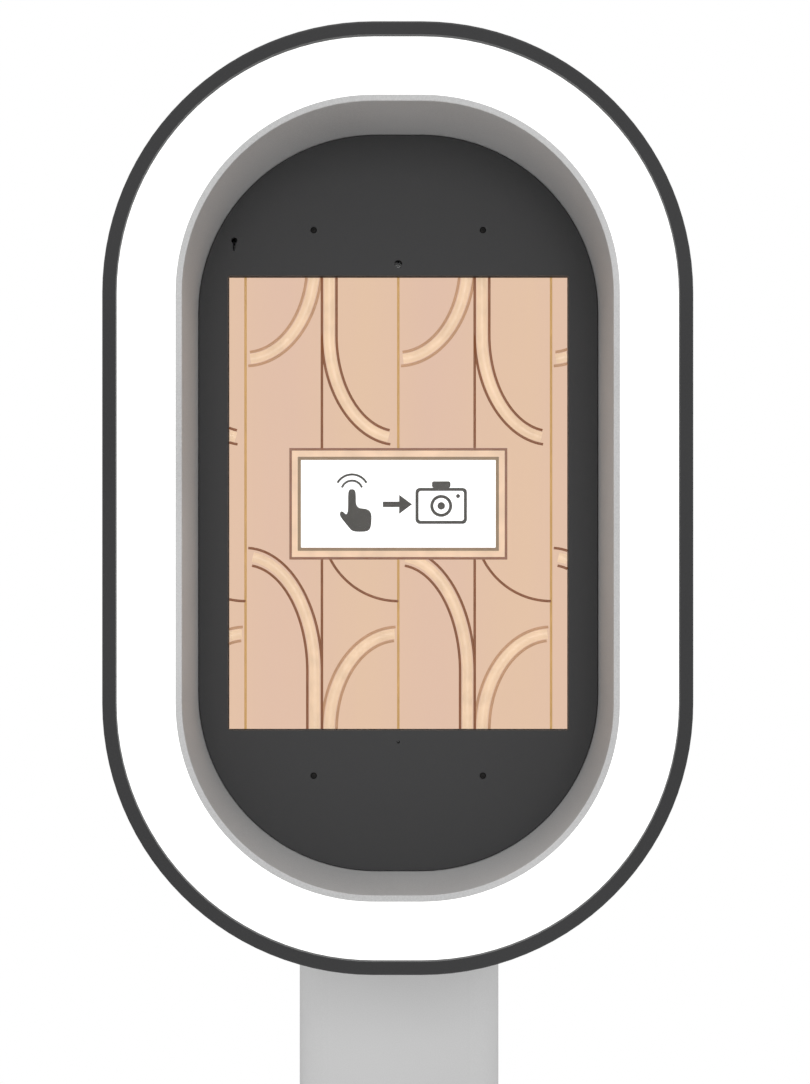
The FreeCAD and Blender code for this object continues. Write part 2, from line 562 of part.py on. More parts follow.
def led_strip():
    """Flexible light strip on the tray's front face."""
    made = body("led_strip", HEAD_PLACE)
    front = TRAY_FRONT - s.strip_thickness
    pad(made, "XZ", front, TRAY_FRONT, head_outline(STRIP))
    pocket(made, "XZ", front, TRAY_FRONT, head_outline(STRIP + s.strip_width))


def ring_spacers():
    """Clinched spacers between the light tray and the reveal ring's flange, tapped from behind."""
    tray, seat = at_depth(SPACERS, TRAY_FRONT), at_depth(SPACERS, s.front_depth)
    back = float(CRADLE - s.flange_thickness)
    length = back - float(s.front_depth)
    way, depth = V(0, 1, 0), float(s.m3_length - s.cradle_thickness - s.flange_thickness) + 1
    shapes = []
    for foot, shoulder in zip(tray, seat):
        spacer = Part.makeCylinder(float(s.spacer_radius), length, shoulder, way)
        spacer = spacer.fuse(Part.makeCylinder(float(s.stud_radius), float(s.tray_thickness), foot, way))
        hole = Part.makeCylinder(float(M3_HOLE), depth, shoulder + way * (length - depth), way)
        shapes.append(spacer.cut(hole))
    placed("ring_spacers", group(shapes), HEAD_PLACE)


def frame_screws():
    """Identical M3 screws: tray to bezel, cradle plate to spacers, and cup to cradle plate."""
    seats = at_depth(BEZEL_BOSSES, s.front_depth) + at_depth(SPACERS + CUP_BOSSES, CRADLE_BACK)
    shapes = [
        screw(seat, V(0, -1, 0), float(s.m3_radius), float(s.m3_length), float(s.m3_head),
              float(s.m3_head_height), float(s.m3_radius) * 0.8)
        for seat in seats
    ]
    placed("frame_screws", group(shapes), HEAD_PLACE)


# Recess, faceplate and its magnets -------------------------------------------------------------------------
def reveal_ring():
    """Light grey wall of the recess, with a lip over the diffuser and a flange behind."""
    made = body("reveal_ring", HEAD_PLACE)
    lip_back = s.rim_thickness
    pad(made, "XZ", s.reveal_setback, lip_back, head_outline(REVEAL - s.reveal_lip))
    pad(made, "XZ", lip_back, CRADLE - s.flange_thickness, head_outline(TUBE))
    pad(made, "XZ", CRADLE - s.flange_thickness, CRADLE, head_outline(FLANGE))
    bore = pocket(made, "XZ", s.reveal_setback, CRADLE, head_outline(REVEAL))
    dress(made, "Fillet", bore, flat_edges(bore, "Y", s.reveal_setback), s.reveal_setback)
    pocket(made, "XZ", CRADLE - s.flange_thickness, CRADLE, discs(M3_HOLE, SPACERS))


def faceplate():
    """Dark plate with the screen window, camera hole, sound hole and a keyhole slot to pull it out by."""
    made = body("faceplate", HEAD_PLACE)
    front, back = s.recess_depth, PLATE_BACK
    plate = pad(made, "XZ", front, back, head_outline(REVEAL + s.plate_gap))
    dress(made, "Chamfer", plate, flat_edges(plate, "Y", front), s.plate_gap)
    clear = s.window_clearance * 2
    pocket(made, "XZ", front, back, rounded(DISPLAY_WIDTH + clear, DISPLAY_HEIGHT + clear, s.window_corner))
    pocket(made, "XZ", front, back, discs(s.camera_hole, [(0, CAMERA_LEVEL)]))
    pocket(made, "XZ", front, back, discs(s.sound_hole, [(0, -CAMERA_LEVEL)]))
    pocket(made, "XZ", front, back, discs(s.keyhole_radius, [(-s.keyhole_side, KEYHOLE_LEVEL)]))
    slot_centre = (-s.keyhole_side, KEYHOLE_LEVEL - s.keyhole_length / 2)
    pocket(made, "XZ", front, back, rectangle(s.keyhole_slot, s.keyhole_length), slot_centre)
    pocket(made, "XZ", front, back, discs(s.plate_screw_radius + s.fit_gap, PLATE_FIXINGS))
    sink = front + s.plate_thickness / 2
    pocket(made, "XZ", front, sink, discs(s.plate_screw_head + s.fit_play, PLATE_FIXINGS))


def faceplate_fixings():
    """Small screws that hold a steel keeper behind each corner of the window, and the magnets it meets."""
    way, half = V(0, 1, 0), float(s.plate_thickness) / 2
    seat_depth = s.recess_depth + half
    length = half + float(s.keeper_thickness)
    small = [
        screw(seat, way, float(s.plate_screw_radius), length, float(s.plate_screw_head),
              half - float(s.plate_screw_sink), float(s.plate_screw_radius) * 0.7)
        for seat in at_depth(PLATE_FIXINGS, seat_depth)
    ]
    placed("faceplate_screws", group(small), HEAD_PLACE)

    keepers = body("keeper_discs", HEAD_PLACE)
    pad(keepers, "XZ", PLATE_BACK, PLATE_BACK + s.keeper_thickness, discs(s.keeper_radius, PLATE_FIXINGS))
    pocket(keepers, "XZ", PLATE_BACK, PLATE_BACK + s.keeper_thickness,
           discs(s.plate_screw_radius + s.fit_gap, PLATE_FIXINGS))

    magnet_front = PLATE_BACK + s.keeper_thickness + s.magnet_gap
    magnet_back = magnet_front + s.magnet_thickness
    posts = body("magnet_posts", HEAD_PLACE)
    pad(posts, "XZ", magnet_front, CRADLE, discs(POST_RADIUS, PLATE_FIXINGS))
    pad(posts, "XZ", CRADLE, CRADLE_BACK, discs(s.stud_radius, PLATE_FIXINGS))
    pocket(posts, "XZ", magnet_front, magnet_back, discs(s.magnet_radius + s.fit_gap, PLATE_FIXINGS))
    magnets = body("magnets", HEAD_PLACE)
    pad(magnets, "XZ", magnet_front, magnet_back, discs(s.magnet_radius, PLATE_FIXINGS))


# Tablet ----------------------------------------------------------------------------------------------------


def tablet():
    """Generic tablet: aluminium back, glass, lit display and front camera."""
    back = body("tablet_body", HEAD_PLACE)
    outline = rounded(s.tablet_width, s.tablet_height, s.tablet_corner)
    block = pad(back, "XZ", GLASS_BACK, TABLET_BACK, outline)
    dress(back, "Fillet", block, flat_edges(block, "Y", TABLET_BACK), s.tablet_edge_round)
    display_back = GLASS_BACK + s.display_thickness
    pocket(back, "XZ", GLASS_BACK, display_back, rectangle(DISPLAY_WIDTH, DISPLAY_HEIGHT))
    lens_back = GLASS_BACK + s.lens_thickness
    pocket(back, "XZ", GLASS_BACK, lens_back, discs(s.lens_radius + s.fit_gap, [(0, CAMERA_LEVEL)]))
    # pockets for the buttons: one in the top edge, one in the right edge
    slot_depth = s.button_depth - s.button_proud + s.button_travel + s.fit_play
    top, side = s.tablet_height / 2, s.tablet_width / 2
    play = s.fit_play * 2
    power = rectangle(s.button_length + play, s.button_width + play)
    pocket(back, "XY", top - slot_depth, top, power, (BUTTON_SIDE, TABLET_MIDDLE))
    volume = rectangle(s.button_width + play, s.volume_length + play)
    pocket(back, "YZ", side - slot_depth, side, volume, (TABLET_MIDDLE, VOLUME_LEVEL))

    glass = body("tablet_glass", HEAD_PLACE)
    margin = s.glass_margin * 2
    outline = rounded(s.tablet_width - margin, s.tablet_height - margin, s.tablet_corner - s.glass_margin)
    pane = pad(glass, "XZ", GLASS, GLASS_BACK, outline)
    dress(glass, "Chamfer", pane, flat_edges(pane, "Y", GLASS), s.glass_thickness / 4)

    display = body("tablet_display", HEAD_PLACE)
    gap = s.fit_gap * 2
    pad(display, "XZ", GLASS_BACK, display_back, rectangle(DISPLAY_WIDTH - gap, DISPLAY_HEIGHT - gap))

    lens = body("tablet_camera", HEAD_PLACE)
    pad(lens, "XZ", GLASS_BACK, lens_back, discs(s.lens_radius, [(0, CAMERA_LEVEL)]))


def tablet_buttons():
    """Power button on the top edge and volume key on the right edge, each proud by more than its travel."""
    power = body("tablet_power_button", HEAD_PLACE)
    top = s.tablet_height / 2 + s.button_proud
    pad(power, "XY", top - s.button_depth, top, rectangle(s.button_length, s.button_width),
        (BUTTON_SIDE, TABLET_MIDDLE))
    volume = body("tablet_volume_key", HEAD_PLACE)
    side = s.tablet_width / 2 + s.button_proud
    pad(volume, "YZ", side - s.button_depth, side, rectangle(s.button_width, s.volume_length),
        (TABLET_MIDDLE, VOLUME_LEVEL))


def tablet_cup():
    """Moulded cup that the tablet lies in, with notches for its buttons and its plug."""
    made = body("tablet_cup", HEAD_PLACE)
    pad(made, "XZ", GLASS_BACK, CRADLE, rounded(CUP_HALF_WIDTH * 2, CUP_HALF_HEIGHT * 2, CUP_CORNER))
    pad(made, "XZ", GLASS_BACK, CRADLE, discs(s.cup_boss_radius, CUP_BOSSES))
    clear = s.cup_clearance * 2
    seat = rounded(s.tablet_width + clear, s.tablet_height + clear, s.tablet_corner + s.cup_clearance)
    pocket(made, "XZ", GLASS_BACK, TABLET_BACK, seat)
    ledge = s.cup_ledge * 2
    pocket(made, "XZ", TABLET_BACK, CRADLE, rectangle(s.tablet_width - ledge, s.tablet_height - ledge))
    pocket(made, "XZ", GLASS_BACK, CRADLE, discs(M3_HOLE, CUP_BOSSES))
    reach, beside = s.cup_wall * 2, s.button_notch * 2
    top, side = s.tablet_height / 2 + s.cup_wall / 2, s.tablet_width / 2 + s.cup_wall / 2
    for draw, centre in (
        (rectangle(s.button_length + beside, reach), (BUTTON_SIDE, top)),
        (rectangle(reach, s.volume_length + beside), (side, VOLUME_LEVEL)),
        (rectangle(s.plug_width + beside, reach), (0, -top)),
    ):
        pocket(made, "XZ", GLASS_BACK, TABLET_BACK, draw, centre)


def tablet_clips():
    """Four clips on the cup's sides that hook over the edge of the glass."""
    made = body("tablet_clips", HEAD_PLACE)
    front = GLASS - s.clip_lip - s.magnet_gap
    leg = CLIP_OUTSIDE - s.clip_thickness / 2
    hold = CLIP_OUTSIDE - s.tablet_width / 2 + s.glass_margin + s.clip_hold
    for right in (1, -1):
        for up in (1, -1):
            centre = (right * leg, up * CLIP_LEVEL)
            pad(made, "XZ", front, TABLET_BACK, rectangle(s.clip_thickness, s.clip_length), centre)
            hook = (right * (CLIP_OUTSIDE - hold / 2), up * CLIP_LEVEL)
            pad(made, "XZ", front, front + s.clip_lip, rectangle(hold, s.clip_length), hook)


def cradle_plate():
    """Zinc-plated plate behind the recess that everything in the head is fixed to."""
    made = body("cradle_plate", HEAD_PLACE)
    pad(made, "XZ", CRADLE, CRADLE_BACK, head_outline(FLANGE))
    pocket(made, "XZ", CRADLE, CRADLE_BACK, discs(M3_HOLE, SPACERS))
    pocket(made, "XZ", CRADLE, CRADLE_BACK, discs(M3_HOLE, CUP_BOSSES))
    pocket(made, "XZ", CRADLE, CRADLE_BACK, discs(s.stud_radius + s.fit_gap, PLATE_FIXINGS))
    pocket(made, "XZ", CRADLE, CRADLE_BACK, discs(s.chassis_stud + s.fit_gap, VESA_HOLES))
    pocket(made, "XZ", CRADLE, CRADLE_BACK, discs(s.lead_hole, [(0, CHARGE_LOW)]))


# Rear case -------------------------------------------------------------------------------------------------
def rear_shell():
    """Moulded back case: a rounded pan with screw towers and a ledge for the rear panel."""
    made = body("rear_shell", HEAD_PLACE)
    block = pad(made, "XZ", s.front_depth, HEAD_DEPTH, head_outline(0))
    rounding = dress(made, "Fillet", block, flat_edges(block, "Y", HEAD_DEPTH), s.back_round)
    doc.recompute()
    front = [
        f"Face{n}" for n, face in enumerate(rounding.Shape.Faces, start=1)
        if face.BoundBox.YMax - float(s.front_depth) < 1e-4
    ]
    pan = made.newObject("PartDesign::Thickness", "Thickness")
    pan.Base = (rounding, front)
    bind(pan, "Value", s.shell_wall)
    pan.Reversed = True
    pan.Mode = 0
    pan.Join = 0
    pad(made, "XZ", LEDGE, PANEL, head_outline(s.panel_inset - s.ledge_root))
    pad(made, "XZ", s.front_depth, PANEL, discs(s.tower_radius, TOWERS))
    pocket(made, "XZ", LEDGE, HEAD_DEPTH, head_outline(s.panel_inset + s.panel_ledge))
    pocket(made, "XZ", PANEL, HEAD_DEPTH, head_outline(s.panel_inset))
    pocket(made, "XZ", s.front_depth, HEAD_DEPTH, discs(s.m4_radius + s.fit_gap, TOWERS))
    pocket(made, "XZ", HEAD_DEPTH - s.tower_bore_depth, HEAD_DEPTH, discs(s.tower_bore, TOWERS))
    pocket(made, "XZ", LEDGE, PANEL, discs(M3_HOLE, PANEL_SCREWS))


def rear_shell_screws():
    """Long M4 screws at the bottom of the towers, threaded into the light tray."""
    seat = HEAD_DEPTH - s.tower_bore_depth
    length = float(seat - TRAY_FRONT)
    shapes = [
        screw(spot, V(0, -1, 0), float(s.m4_radius), length, float(s.m4_head), float(s.m4_head_height),
              float(s.m4_radius) * 0.8)
        for spot in at_depth(TOWERS, seat)
    ]
    placed("rear_shell_screws", group(shapes), HEAD_PLACE)


def rear_panel():
    """Aluminium panel with the bracket's holes, vents, and cut-outs for the inlet, switch and dimmer."""
    made = body("rear_panel", HEAD_PLACE)
    pad(made, "XZ", PANEL, HEAD_DEPTH, head_outline(s.panel_inset + s.panel_clearance))
    pocket(made, "XZ", PANEL, HEAD_DEPTH, discs(M3_HOLE, PANEL_SCREWS))
    pocket(made, "XZ", PANEL, HEAD_DEPTH, discs(s.m4_radius + s.fit_gap, VESA_HOLES))
    play = s.fit_play * 2
    inlet = rounded(s.inlet_width + play, s.inlet_height + play, s.inlet_corner)
    pocket(made, "XZ", PANEL, HEAD_DEPTH, inlet, (-CONTROL_SIDE, INLET_LEVEL))
    play = play + s.rocker_wall * 2
    rocker = rectangle(s.rocker_width + play, s.rocker_height + play)
    pocket(made, "XZ", PANEL, HEAD_DEPTH, rocker, (-ROCKER_SIDE, ROCKER_LEVEL))
    dimmer_hole = discs(s.bushing_radius + s.fit_gap, [(CONTROL_SIDE, DIMMER_LEVEL)])
    pocket(made, "XZ", PANEL, HEAD_DEPTH, dimmer_hole)
    upper = PANEL_HALF_HEIGHT - s.upper_vent_drop - s.vent_pitch * (s.vent_count - 1)
    slot = rounded(s.vent_length, s.vent_width, s.vent_width * 0.49)
    for level in (upper, s.lower_vent_rise - PANEL_HALF_HEIGHT - s.vent_width / 2):
        vent = pocket(made, "XZ", PANEL, HEAD_DEPTH, slot, (0, level))
        repeat_along(made, vent, "V_Axis", s.vent_pitch * (s.vent_count - 1), s.vent_count)


def rear_panel_screws():
    """M3 screws that hold the rear panel to the case's ledge."""
    shapes = [
        screw(seat, V(0, -1, 0), float(s.m3_radius), float(s.panel_screw_length), float(s.m3_head),
              float(s.m3_head_height), float(s.m3_radius) * 0.8)
        for seat in at_depth(PANEL_SCREWS, HEAD_DEPTH)
    ]
    placed("rear_panel_screws", group(shapes), HEAD_PLACE)


def chassis_posts():
    """Posts from the cradle plate to the rear panel, in line with the bracket's bolts."""
    made = body("chassis_posts", HEAD_PLACE)
    pad(made, "XZ", CRADLE_BACK, PANEL, discs(s.chassis_post_radius, VESA_HOLES))
    pad(made, "XZ", CRADLE, CRADLE_BACK, discs(s.chassis_stud, VESA_HOLES))
    pocket(made, "XZ", BOLT_TIP - 1, PANEL, discs(s.m4_radius + s.fit_gap, VESA_HOLES))




# Electronics -----------------------------------------------------------------------------------------------
def led_driver():
    """Mains driver for the light: a closed brick on the cradle plate."""
    made = body("led_driver", HEAD_PLACE)
    back = CRADLE_BACK + s.driver_depth
    outline = rounded(s.driver_width, s.driver_height, s.driver_round)
    brick = pad(made, "XZ", CRADLE_BACK, back, outline, (-MODULE_SIDE, DRIVER_LEVEL))
    dress(made, "Chamfer", brick, flat_edges(brick, "Y", back), s.driver_round / 2)


def control_board():
    """Dimmer and charging board on four standoffs, with its module, heat sink, capacitors and terminals."""
    made = body("control_board", HEAD_PLACE)
    centre = (MODULE_SIDE, s.board_level)
    front = BOARD_BACK - s.board_thickness
    pad(made, "XZ", front, BOARD_BACK, rectangle(s.board_width, s.board_height), centre)
    feet = corners_of(s.board_width / 2 - s.standoff_inset, s.board_height / 2 - s.standoff_inset)
    pad(made, "XZ", CRADLE_BACK, front, discs(s.spacer_radius, feet), centre)
    sink_side = MODULE_SIDE + s.board_width / 2 - s.sink_width
    module_spot, sink_spot = (MODULE_SIDE, s.board_level + s.module_rise), (sink_side, s.board_level)
    for draw, spot, depth in (
        (rectangle(s.module_width, s.module_height), module_spot, s.module_depth),
        (rectangle(s.sink_width, s.sink_height), sink_spot, s.sink_depth),
        (rectangle(s.terminal_width, s.terminal_height), (MODULE_SIDE, TERMINAL_LEVEL), s.terminal_depth),
    ):
        pad(made, "XZ", BOARD_BACK, BOARD_BACK + depth, draw, spot)
    side = s.capacitor_radius * 2 - s.board_width / 2
    capacitors = discs(s.capacitor_radius, [(side, 0), (side, -s.capacitor_radius * 2.4)])
    pad(made, "XZ", BOARD_BACK, BOARD_BACK + s.capacitor_height, capacitors, centre)


def usb_supply():
    """Charging supply for the tablet."""
    made = body("usb_supply", HEAD_PLACE)
    outline = rounded(s.supply_width, s.supply_height, s.driver_round)
    block = pad(made, "XZ", CRADLE_BACK, SUPPLY_BACK, outline, (0, SUPPLY_LEVEL))
    dress(made, "Chamfer", block, flat_edges(block, "Y", SUPPLY_BACK), s.driver_round / 2)


def charge_plug():
    """Plug in the tablet's lower edge."""
    made = body("charge_plug", HEAD_PLACE)
    outline = rounded(s.plug_width, s.plug_depth, s.plug_corner)
    pad(made, "XY", PLUG_END, PLUG_END + s.plug_length, outline, (0, TABLET_MIDDLE))


def lead(route, radius):
    """A lead along points given as sizes."""
    return routed([V(*map(float, point)) for point in route], float(radius))


def charge_lead():
    """From the supply, through the cradle plate, to the tablet's plug."""
    route = [(0, TABLET_MIDDLE, PLUG_END), (0, TABLET_MIDDLE, CHARGE_LOW), (0, LEAD_DEPTH, CHARGE_LOW),
             (0, LEAD_DEPTH, SUPPLY_LEVEL - s.supply_height / 2)]
    placed("charge_lead", group([lead(route, s.lead_radius)]), HEAD_PLACE)


def signal_leads():
    """Driver to light strip, dimmer to board, and board to driver."""
    strip_x = LEAD_INSET - HEAD_WIDTH / 2
    driver_left, driver_right = s.driver_width / -2 - MODULE_SIDE, s.driver_width / 2 - MODULE_SIDE
    strip = [(driver_left, LEAD_DEPTH, s.led_lead_level), (strip_x, LEAD_DEPTH, s.led_lead_level),
             (strip_x, TRAY_FRONT, s.led_lead_level)]

    pot_top, board_low = DIMMER_LEVEL + s.pot_radius, TERMINAL_LEVEL - s.terminal_height / 2
    third = (board_low - pot_top) / 3
    pot_y, terminal_y = PANEL - s.pot_depth / 2, BOARD_BACK + s.terminal_depth / 2
    dimmer_run = [(CONTROL_SIDE, pot_y, pot_top), (CONTROL_SIDE, pot_y, pot_top + third),
                  (MODULE_SIDE, terminal_y, board_low - third), (MODULE_SIDE, terminal_y, board_low)]

    low, level = CRADLE_BACK + s.lead_offset, s.board_level + s.module_rise - s.lead_offset
    start, drop = MODULE_SIDE - s.module_width / 2, s.charge_drop
    across = [(start, LEAD_DEPTH, level), (start - drop * 0.8, LEAD_DEPTH, level),
              (start - drop * 1.6, low, level), (driver_right + drop * 1.6, low, level),
              (driver_right + drop * 0.8, LEAD_DEPTH, level), (driver_right, LEAD_DEPTH, level)]
    runs = [lead(strip, s.led_lead_radius), lead(dimmer_run, s.lead_radius), lead(across, s.lead_radius)]
    placed("signal_leads", group(runs), HEAD_PLACE)


def mains_leads():
    """Inlet to driver, inlet to supply, and switch to inlet."""
    inlet_top, inlet_low = INLET_LEVEL + s.inlet_height / 2, INLET_LEVEL - s.inlet_height / 2
    driver_low = DRIVER_LEVEL - s.driver_height / 2
    third = s.driver_lead_length / 3
    driver = [(-CONTROL_SIDE, LEAD_DEPTH, inlet_top), (-CONTROL_SIDE, LEAD_DEPTH, inlet_top + third),
              (-MODULE_SIDE + s.lead_offset, LEAD_DEPTH, driver_low - third),
              (-MODULE_SIDE + s.lead_offset, LEAD_DEPTH, driver_low)]

    inlet_right, supply_left = s.inlet_width / 2 - CONTROL_SIDE, -s.supply_width / 2
    third = (supply_left - inlet_right) / 3
    level, supply_y = SUPPLY_LEVEL + s.lead_offset, CRADLE_BACK + s.supply_depth / 2
    supply = [(inlet_right, LEAD_DEPTH, level), (inlet_right + third, LEAD_DEPTH, level),
              (supply_left - third, supply_y, SUPPLY_LEVEL), (supply_left, supply_y, SUPPLY_LEVEL)]

    switch_top = ROCKER_LEVEL + s.rocker_height / 2 + s.rocker_wall
    third = (inlet_low - switch_top) / 3
    switch_y, inlet_y = HEAD_DEPTH - s.rocker_depth / 2, LEAD_DEPTH + s.lead_offset
    switch = [(-ROCKER_SIDE, switch_y, switch_top), (-ROCKER_SIDE, switch_y, switch_top + third),
              (-CONTROL_SIDE, inlet_y, inlet_low - third), (-CONTROL_SIDE, inlet_y, inlet_low)]
    runs = [lead(route, s.mains_lead_radius) for route in (driver, supply)] + [lead(switch, s.lead_radius)]
    placed("mains_leads", group(runs), HEAD_PLACE)


# Inlet, switch and dimmer ----------------------------------------------------------------------------------
def power_inlet():
    """Mains inlet: flange outside the panel, body inside, and three pins in its socket."""
    made = body("power_inlet", HEAD_PLACE)
    centre = (-CONTROL_SIDE, INLET_LEVEL)
    face = HEAD_DEPTH + s.inlet_flange
    block = rounded(s.inlet_width, s.inlet_height, s.inlet_corner)
    pad(made, "XZ", HEAD_DEPTH - s.inlet_depth, HEAD_DEPTH, block, centre)
    border = s.inlet_border * 2
    flange = rounded(s.inlet_width + border, s.inlet_height + s.inlet_border, s.inlet_corner)
    pad(made, "XZ", HEAD_DEPTH, face, flange, centre)
    floor = face - s.socket_depth
    pocket(made, "XZ", floor, face, rounded(s.socket_width, s.socket_height, s.inlet_corner), centre)
    for across, up in ((s.pin_side, -s.pin_spread), (s.pin_side, s.pin_spread), (-s.pin_side, 0)):
        spot = (across - CONTROL_SIDE, up + INLET_LEVEL)
        pad(made, "XZ", floor, floor + s.pin_length, rectangle(s.pin_width, s.pin_thickness), spot)


def rocker_frame():
    """Snap-in frame of the power switch, with a well for its rocker."""
    made = body("rocker_frame", HEAD_PLACE)
    centre = (-ROCKER_SIDE, ROCKER_LEVEL)
    inner, face = HEAD_DEPTH - s.rocker_depth, HEAD_DEPTH + s.rocker_flange
    wall = s.rocker_wall * 2
    border = wall + s.rocker_border * 2
    pad(made, "XZ", inner, HEAD_DEPTH, rectangle(s.rocker_width + wall, s.rocker_height + wall), centre)
    pad(made, "XZ", HEAD_DEPTH, face, rectangle(s.rocker_width + border, s.rocker_height + border), centre)
    pocket(made, "XZ", inner + s.rocker_wall, face, rectangle(s.rocker_width, s.rocker_height), centre)


def power_rocker():
    """The switch's rocker: two slopes that meet over the pivot, pressed in at its upper half."""
    half = float(s.rocker_height) / 2 - float(s.rocker_end_gap)
    width = float(s.rocker_width) - 2 * float(s.rocker_side_gap)
    rise = half * math.tan(math.radians(float(s.rocker_tilt)))
    low = float(s.rocker_depth) / 3
    end = float(HEAD_DEPTH + s.rocker_flange - ROCKER_AXIS) - rise / 2
    front = [(-low, low / 2), (-low, -low / 2)]
    profile = front[1:] + [(end, -half), (end - rise, 0), (end, half)] + front
    tilt = FreeCAD.Rotation(V(1, 0, 0), float(s.rocker_tilt))
    ring = Part.makePolygon([tilt.multVec(V(-width / 2, y, z)) for y, z in profile])
    place = (-ROCKER_SIDE, s.head_front + ROCKER_AXIS, s.head_level + ROCKER_LEVEL)
    placed("power_rocker", Part.Face(ring).extrude(V(width, 0, 0)), place)


def dimmer():
    """Brightness control: potentiometer behind the panel, shaft through it, and a ribbed knob."""
    centre = (CONTROL_SIDE, DIMMER_LEVEL)
    pot = body("dimmer_pot", HEAD_PLACE)
    pot_front, bushing_end = PANEL - s.pot_depth, PANEL + s.bushing_length
    pad(pot, "XZ", pot_front, PANEL, discs(s.pot_radius), centre)
    pad(pot, "XZ", PANEL, bushing_end, discs(s.bushing_radius), centre)
    pocket(pot, "XZ", pot_front + s.pot_wall, bushing_end, discs(s.shaft_radius + s.fit_gap), centre)

    shaft = body("dimmer_shaft", HEAD_PLACE)
    pad(shaft, "XZ", pot_front + s.pot_wall + s.fit_gap, SHAFT_END, discs(s.shaft_radius), centre)

    knob = body("dimmer_knob", HEAD_PLACE)
    face = KNOB_FRONT + s.knob_height
    grip = pad(knob, "XZ", KNOB_FRONT, face, discs(s.knob_radius), centre)
    dress(knob, "Chamfer", grip, flat_edges(grip, "Y", face), s.knob_bevel)
    pocket(knob, "XZ", KNOB_FRONT, SHAFT_END, discs(s.shaft_radius), centre)
    groove_draw = discs(s.knob_groove_radius, [(s.knob_radius + s.knob_groove_radius * 0.3, 0)])
    groove = pocket(knob, "XZ", KNOB_FRONT, face, groove_draw, centre)
    repeat_around(knob, groove, s.knob_grooves)


# Tilt joint ------------------------------------------------------------------------------------------------
def head_bracket():
    """Steel bracket on the rear panel: a base plate and two ears that carry the tilt bolt."""
    made = body("head_bracket", HEAD_PLACE)
    size = s.vesa_pitch + s.bracket_border * 2
    pad(made, "XZ", HEAD_DEPTH, BRACKET_BACK, rounded(size, size, s.bracket_corner))
    pocket(made, "XZ", HEAD_DEPTH, BRACKET_BACK, discs(s.m4_radius + s.fit_gap, VESA_HOLES))
    middle = (HEAD_DEPTH + AXIS) / 2
    for start in (EAR_FACE, -EAR_BACK):
        stop = start + s.bracket_thickness
        pad(made, "YZ", start, stop, rectangle(AXIS - HEAD_DEPTH, s.ear_radius * 2), (middle, 0))
        pad(made, "YZ", start, stop, discs(s.ear_radius), (AXIS, 0))
        pocket(made, "YZ", start, stop, discs(s.bolt_radius + s.fit_gap), (AXIS, 0))


def bracket_bolts():
    """M4 bolts from the bracket through the rear panel into the chassis posts."""
    shapes = [
        screw(seat, V(0, -1, 0), float(s.m4_radius), float(BRACKET_BACK - BOLT_TIP), float(s.m4_head),
              float(s.m4_head_height), float(s.m4_radius) * 0.8)
        for seat in at_depth(VESA_HOLES, BRACKET_BACK)
    ]
    placed("bracket_bolts", group(shapes), HEAD_PLACE)




def tilt_bolt():
    """Hexagon bolt that the head tilts about."""
    made = body("tilt_bolt", TILT_PLACE)
    head_end = -EAR_BACK
    pad(made, "YZ", head_end - s.bolt_head_height, head_end, hexagon(s.bolt_head_radius))
    pad(made, "YZ", head_end, STAR_START + s.star_bore_depth - s.fit_play, discs(s.bolt_radius))


def tilt_washers():
    """Friction washers each side of the lug, and a plain one under the knob."""
    made = body("tilt_washers", TILT_PLACE)
    bore = s.bolt_radius + s.running_gap
    lug_side = EAR_FACE - s.washer_thickness
    for start in (lug_side, -EAR_FACE):
        pad(made, "YZ", start, start + s.washer_thickness, discs(s.washer_radius))
        pocket(made, "YZ", start, start + s.washer_thickness, discs(bore))
    pad(made, "YZ", EAR_BACK, STAR_START, discs(s.outer_washer_radius))
    pocket(made, "YZ", EAR_BACK, STAR_START, discs(bore))


def star_knob(label, place, plane, start, bore, bore_depth):
    """Six-lobed clamping knob with a blind bore for its stud."""
    made = body(label, place)
    stop = start + s.star_length
    pad(made, plane, start, stop, discs(s.star_hub))
    lobe = pad(made, plane, start, stop, discs(s.star_lobe, [(s.star_radius - s.star_lobe, 0)]))
    repeat_around(made, lobe, s.star_lobes)
    if bore_depth is not None:
        pocket(made, plane, start, start + bore_depth, discs(bore))
    return made


def column_head():
    """Cast top of the column: a plug in the tube, a cap on it and the lug that the head turns on."""
    made = body("column_head", COLUMN_PLACE)
    cap_top = COLUMN_TOP + s.cap_thickness
    inside = s.column_wall + s.fit_gap
    pad(made, "XY", COLUMN_TOP - s.plug_drop, COLUMN_TOP,
        rounded(s.column_width - inside * 2, s.column_depth - inside * 2, s.column_corner - inside))
    cap = pad(made, "XY", COLUMN_TOP, cap_top, rounded(s.column_width, s.column_depth, s.column_corner))
    dress(made, "Fillet", cap, flat_edges(cap, "Z", cap_top), s.cap_round)
    half = EAR_FACE - s.washer_thickness - s.running_gap
    axis = AXIS - COLUMN_CENTRE
    rise = s.head_level - COLUMN_TOP
    pad(made, "YZ", -half, half, rectangle(s.lug_radius * 2, rise), (axis, COLUMN_TOP + rise / 2))
    pad(made, "YZ", -half, half, discs(s.lug_radius), (axis, s.head_level))
    pocket(made, "YZ", -half, half, discs(s.bolt_radius + s.running_gap), (axis, s.head_level))
    level = COLUMN_TOP - s.plug_drop / 2
    hole = s.m6_length + 1
    for start in (-s.column_width / 2, s.column_width / 2 - hole):
        pocket(made, "YZ", start, start + hole, discs(s.m6_radius + s.fit_gap), (0, level))


def side_screws(label, half_width, levels, place, extra=()):
    """M6 button screws through a tube's two sides, and any others given as (seat, way)."""
    seats = [(V(side * half_width, 0, level), V(-side, 0, 0)) for side in (1, -1) for level in levels]
    shapes = [
        screw(seat, way, float(s.m6_radius), float(s.m6_length), float(s.m6_head), float(s.m6_head_height),
              float(s.m6_radius) * 0.8)
        for seat, way in seats + list(extra)
    ]
    placed(label, group(shapes), place)


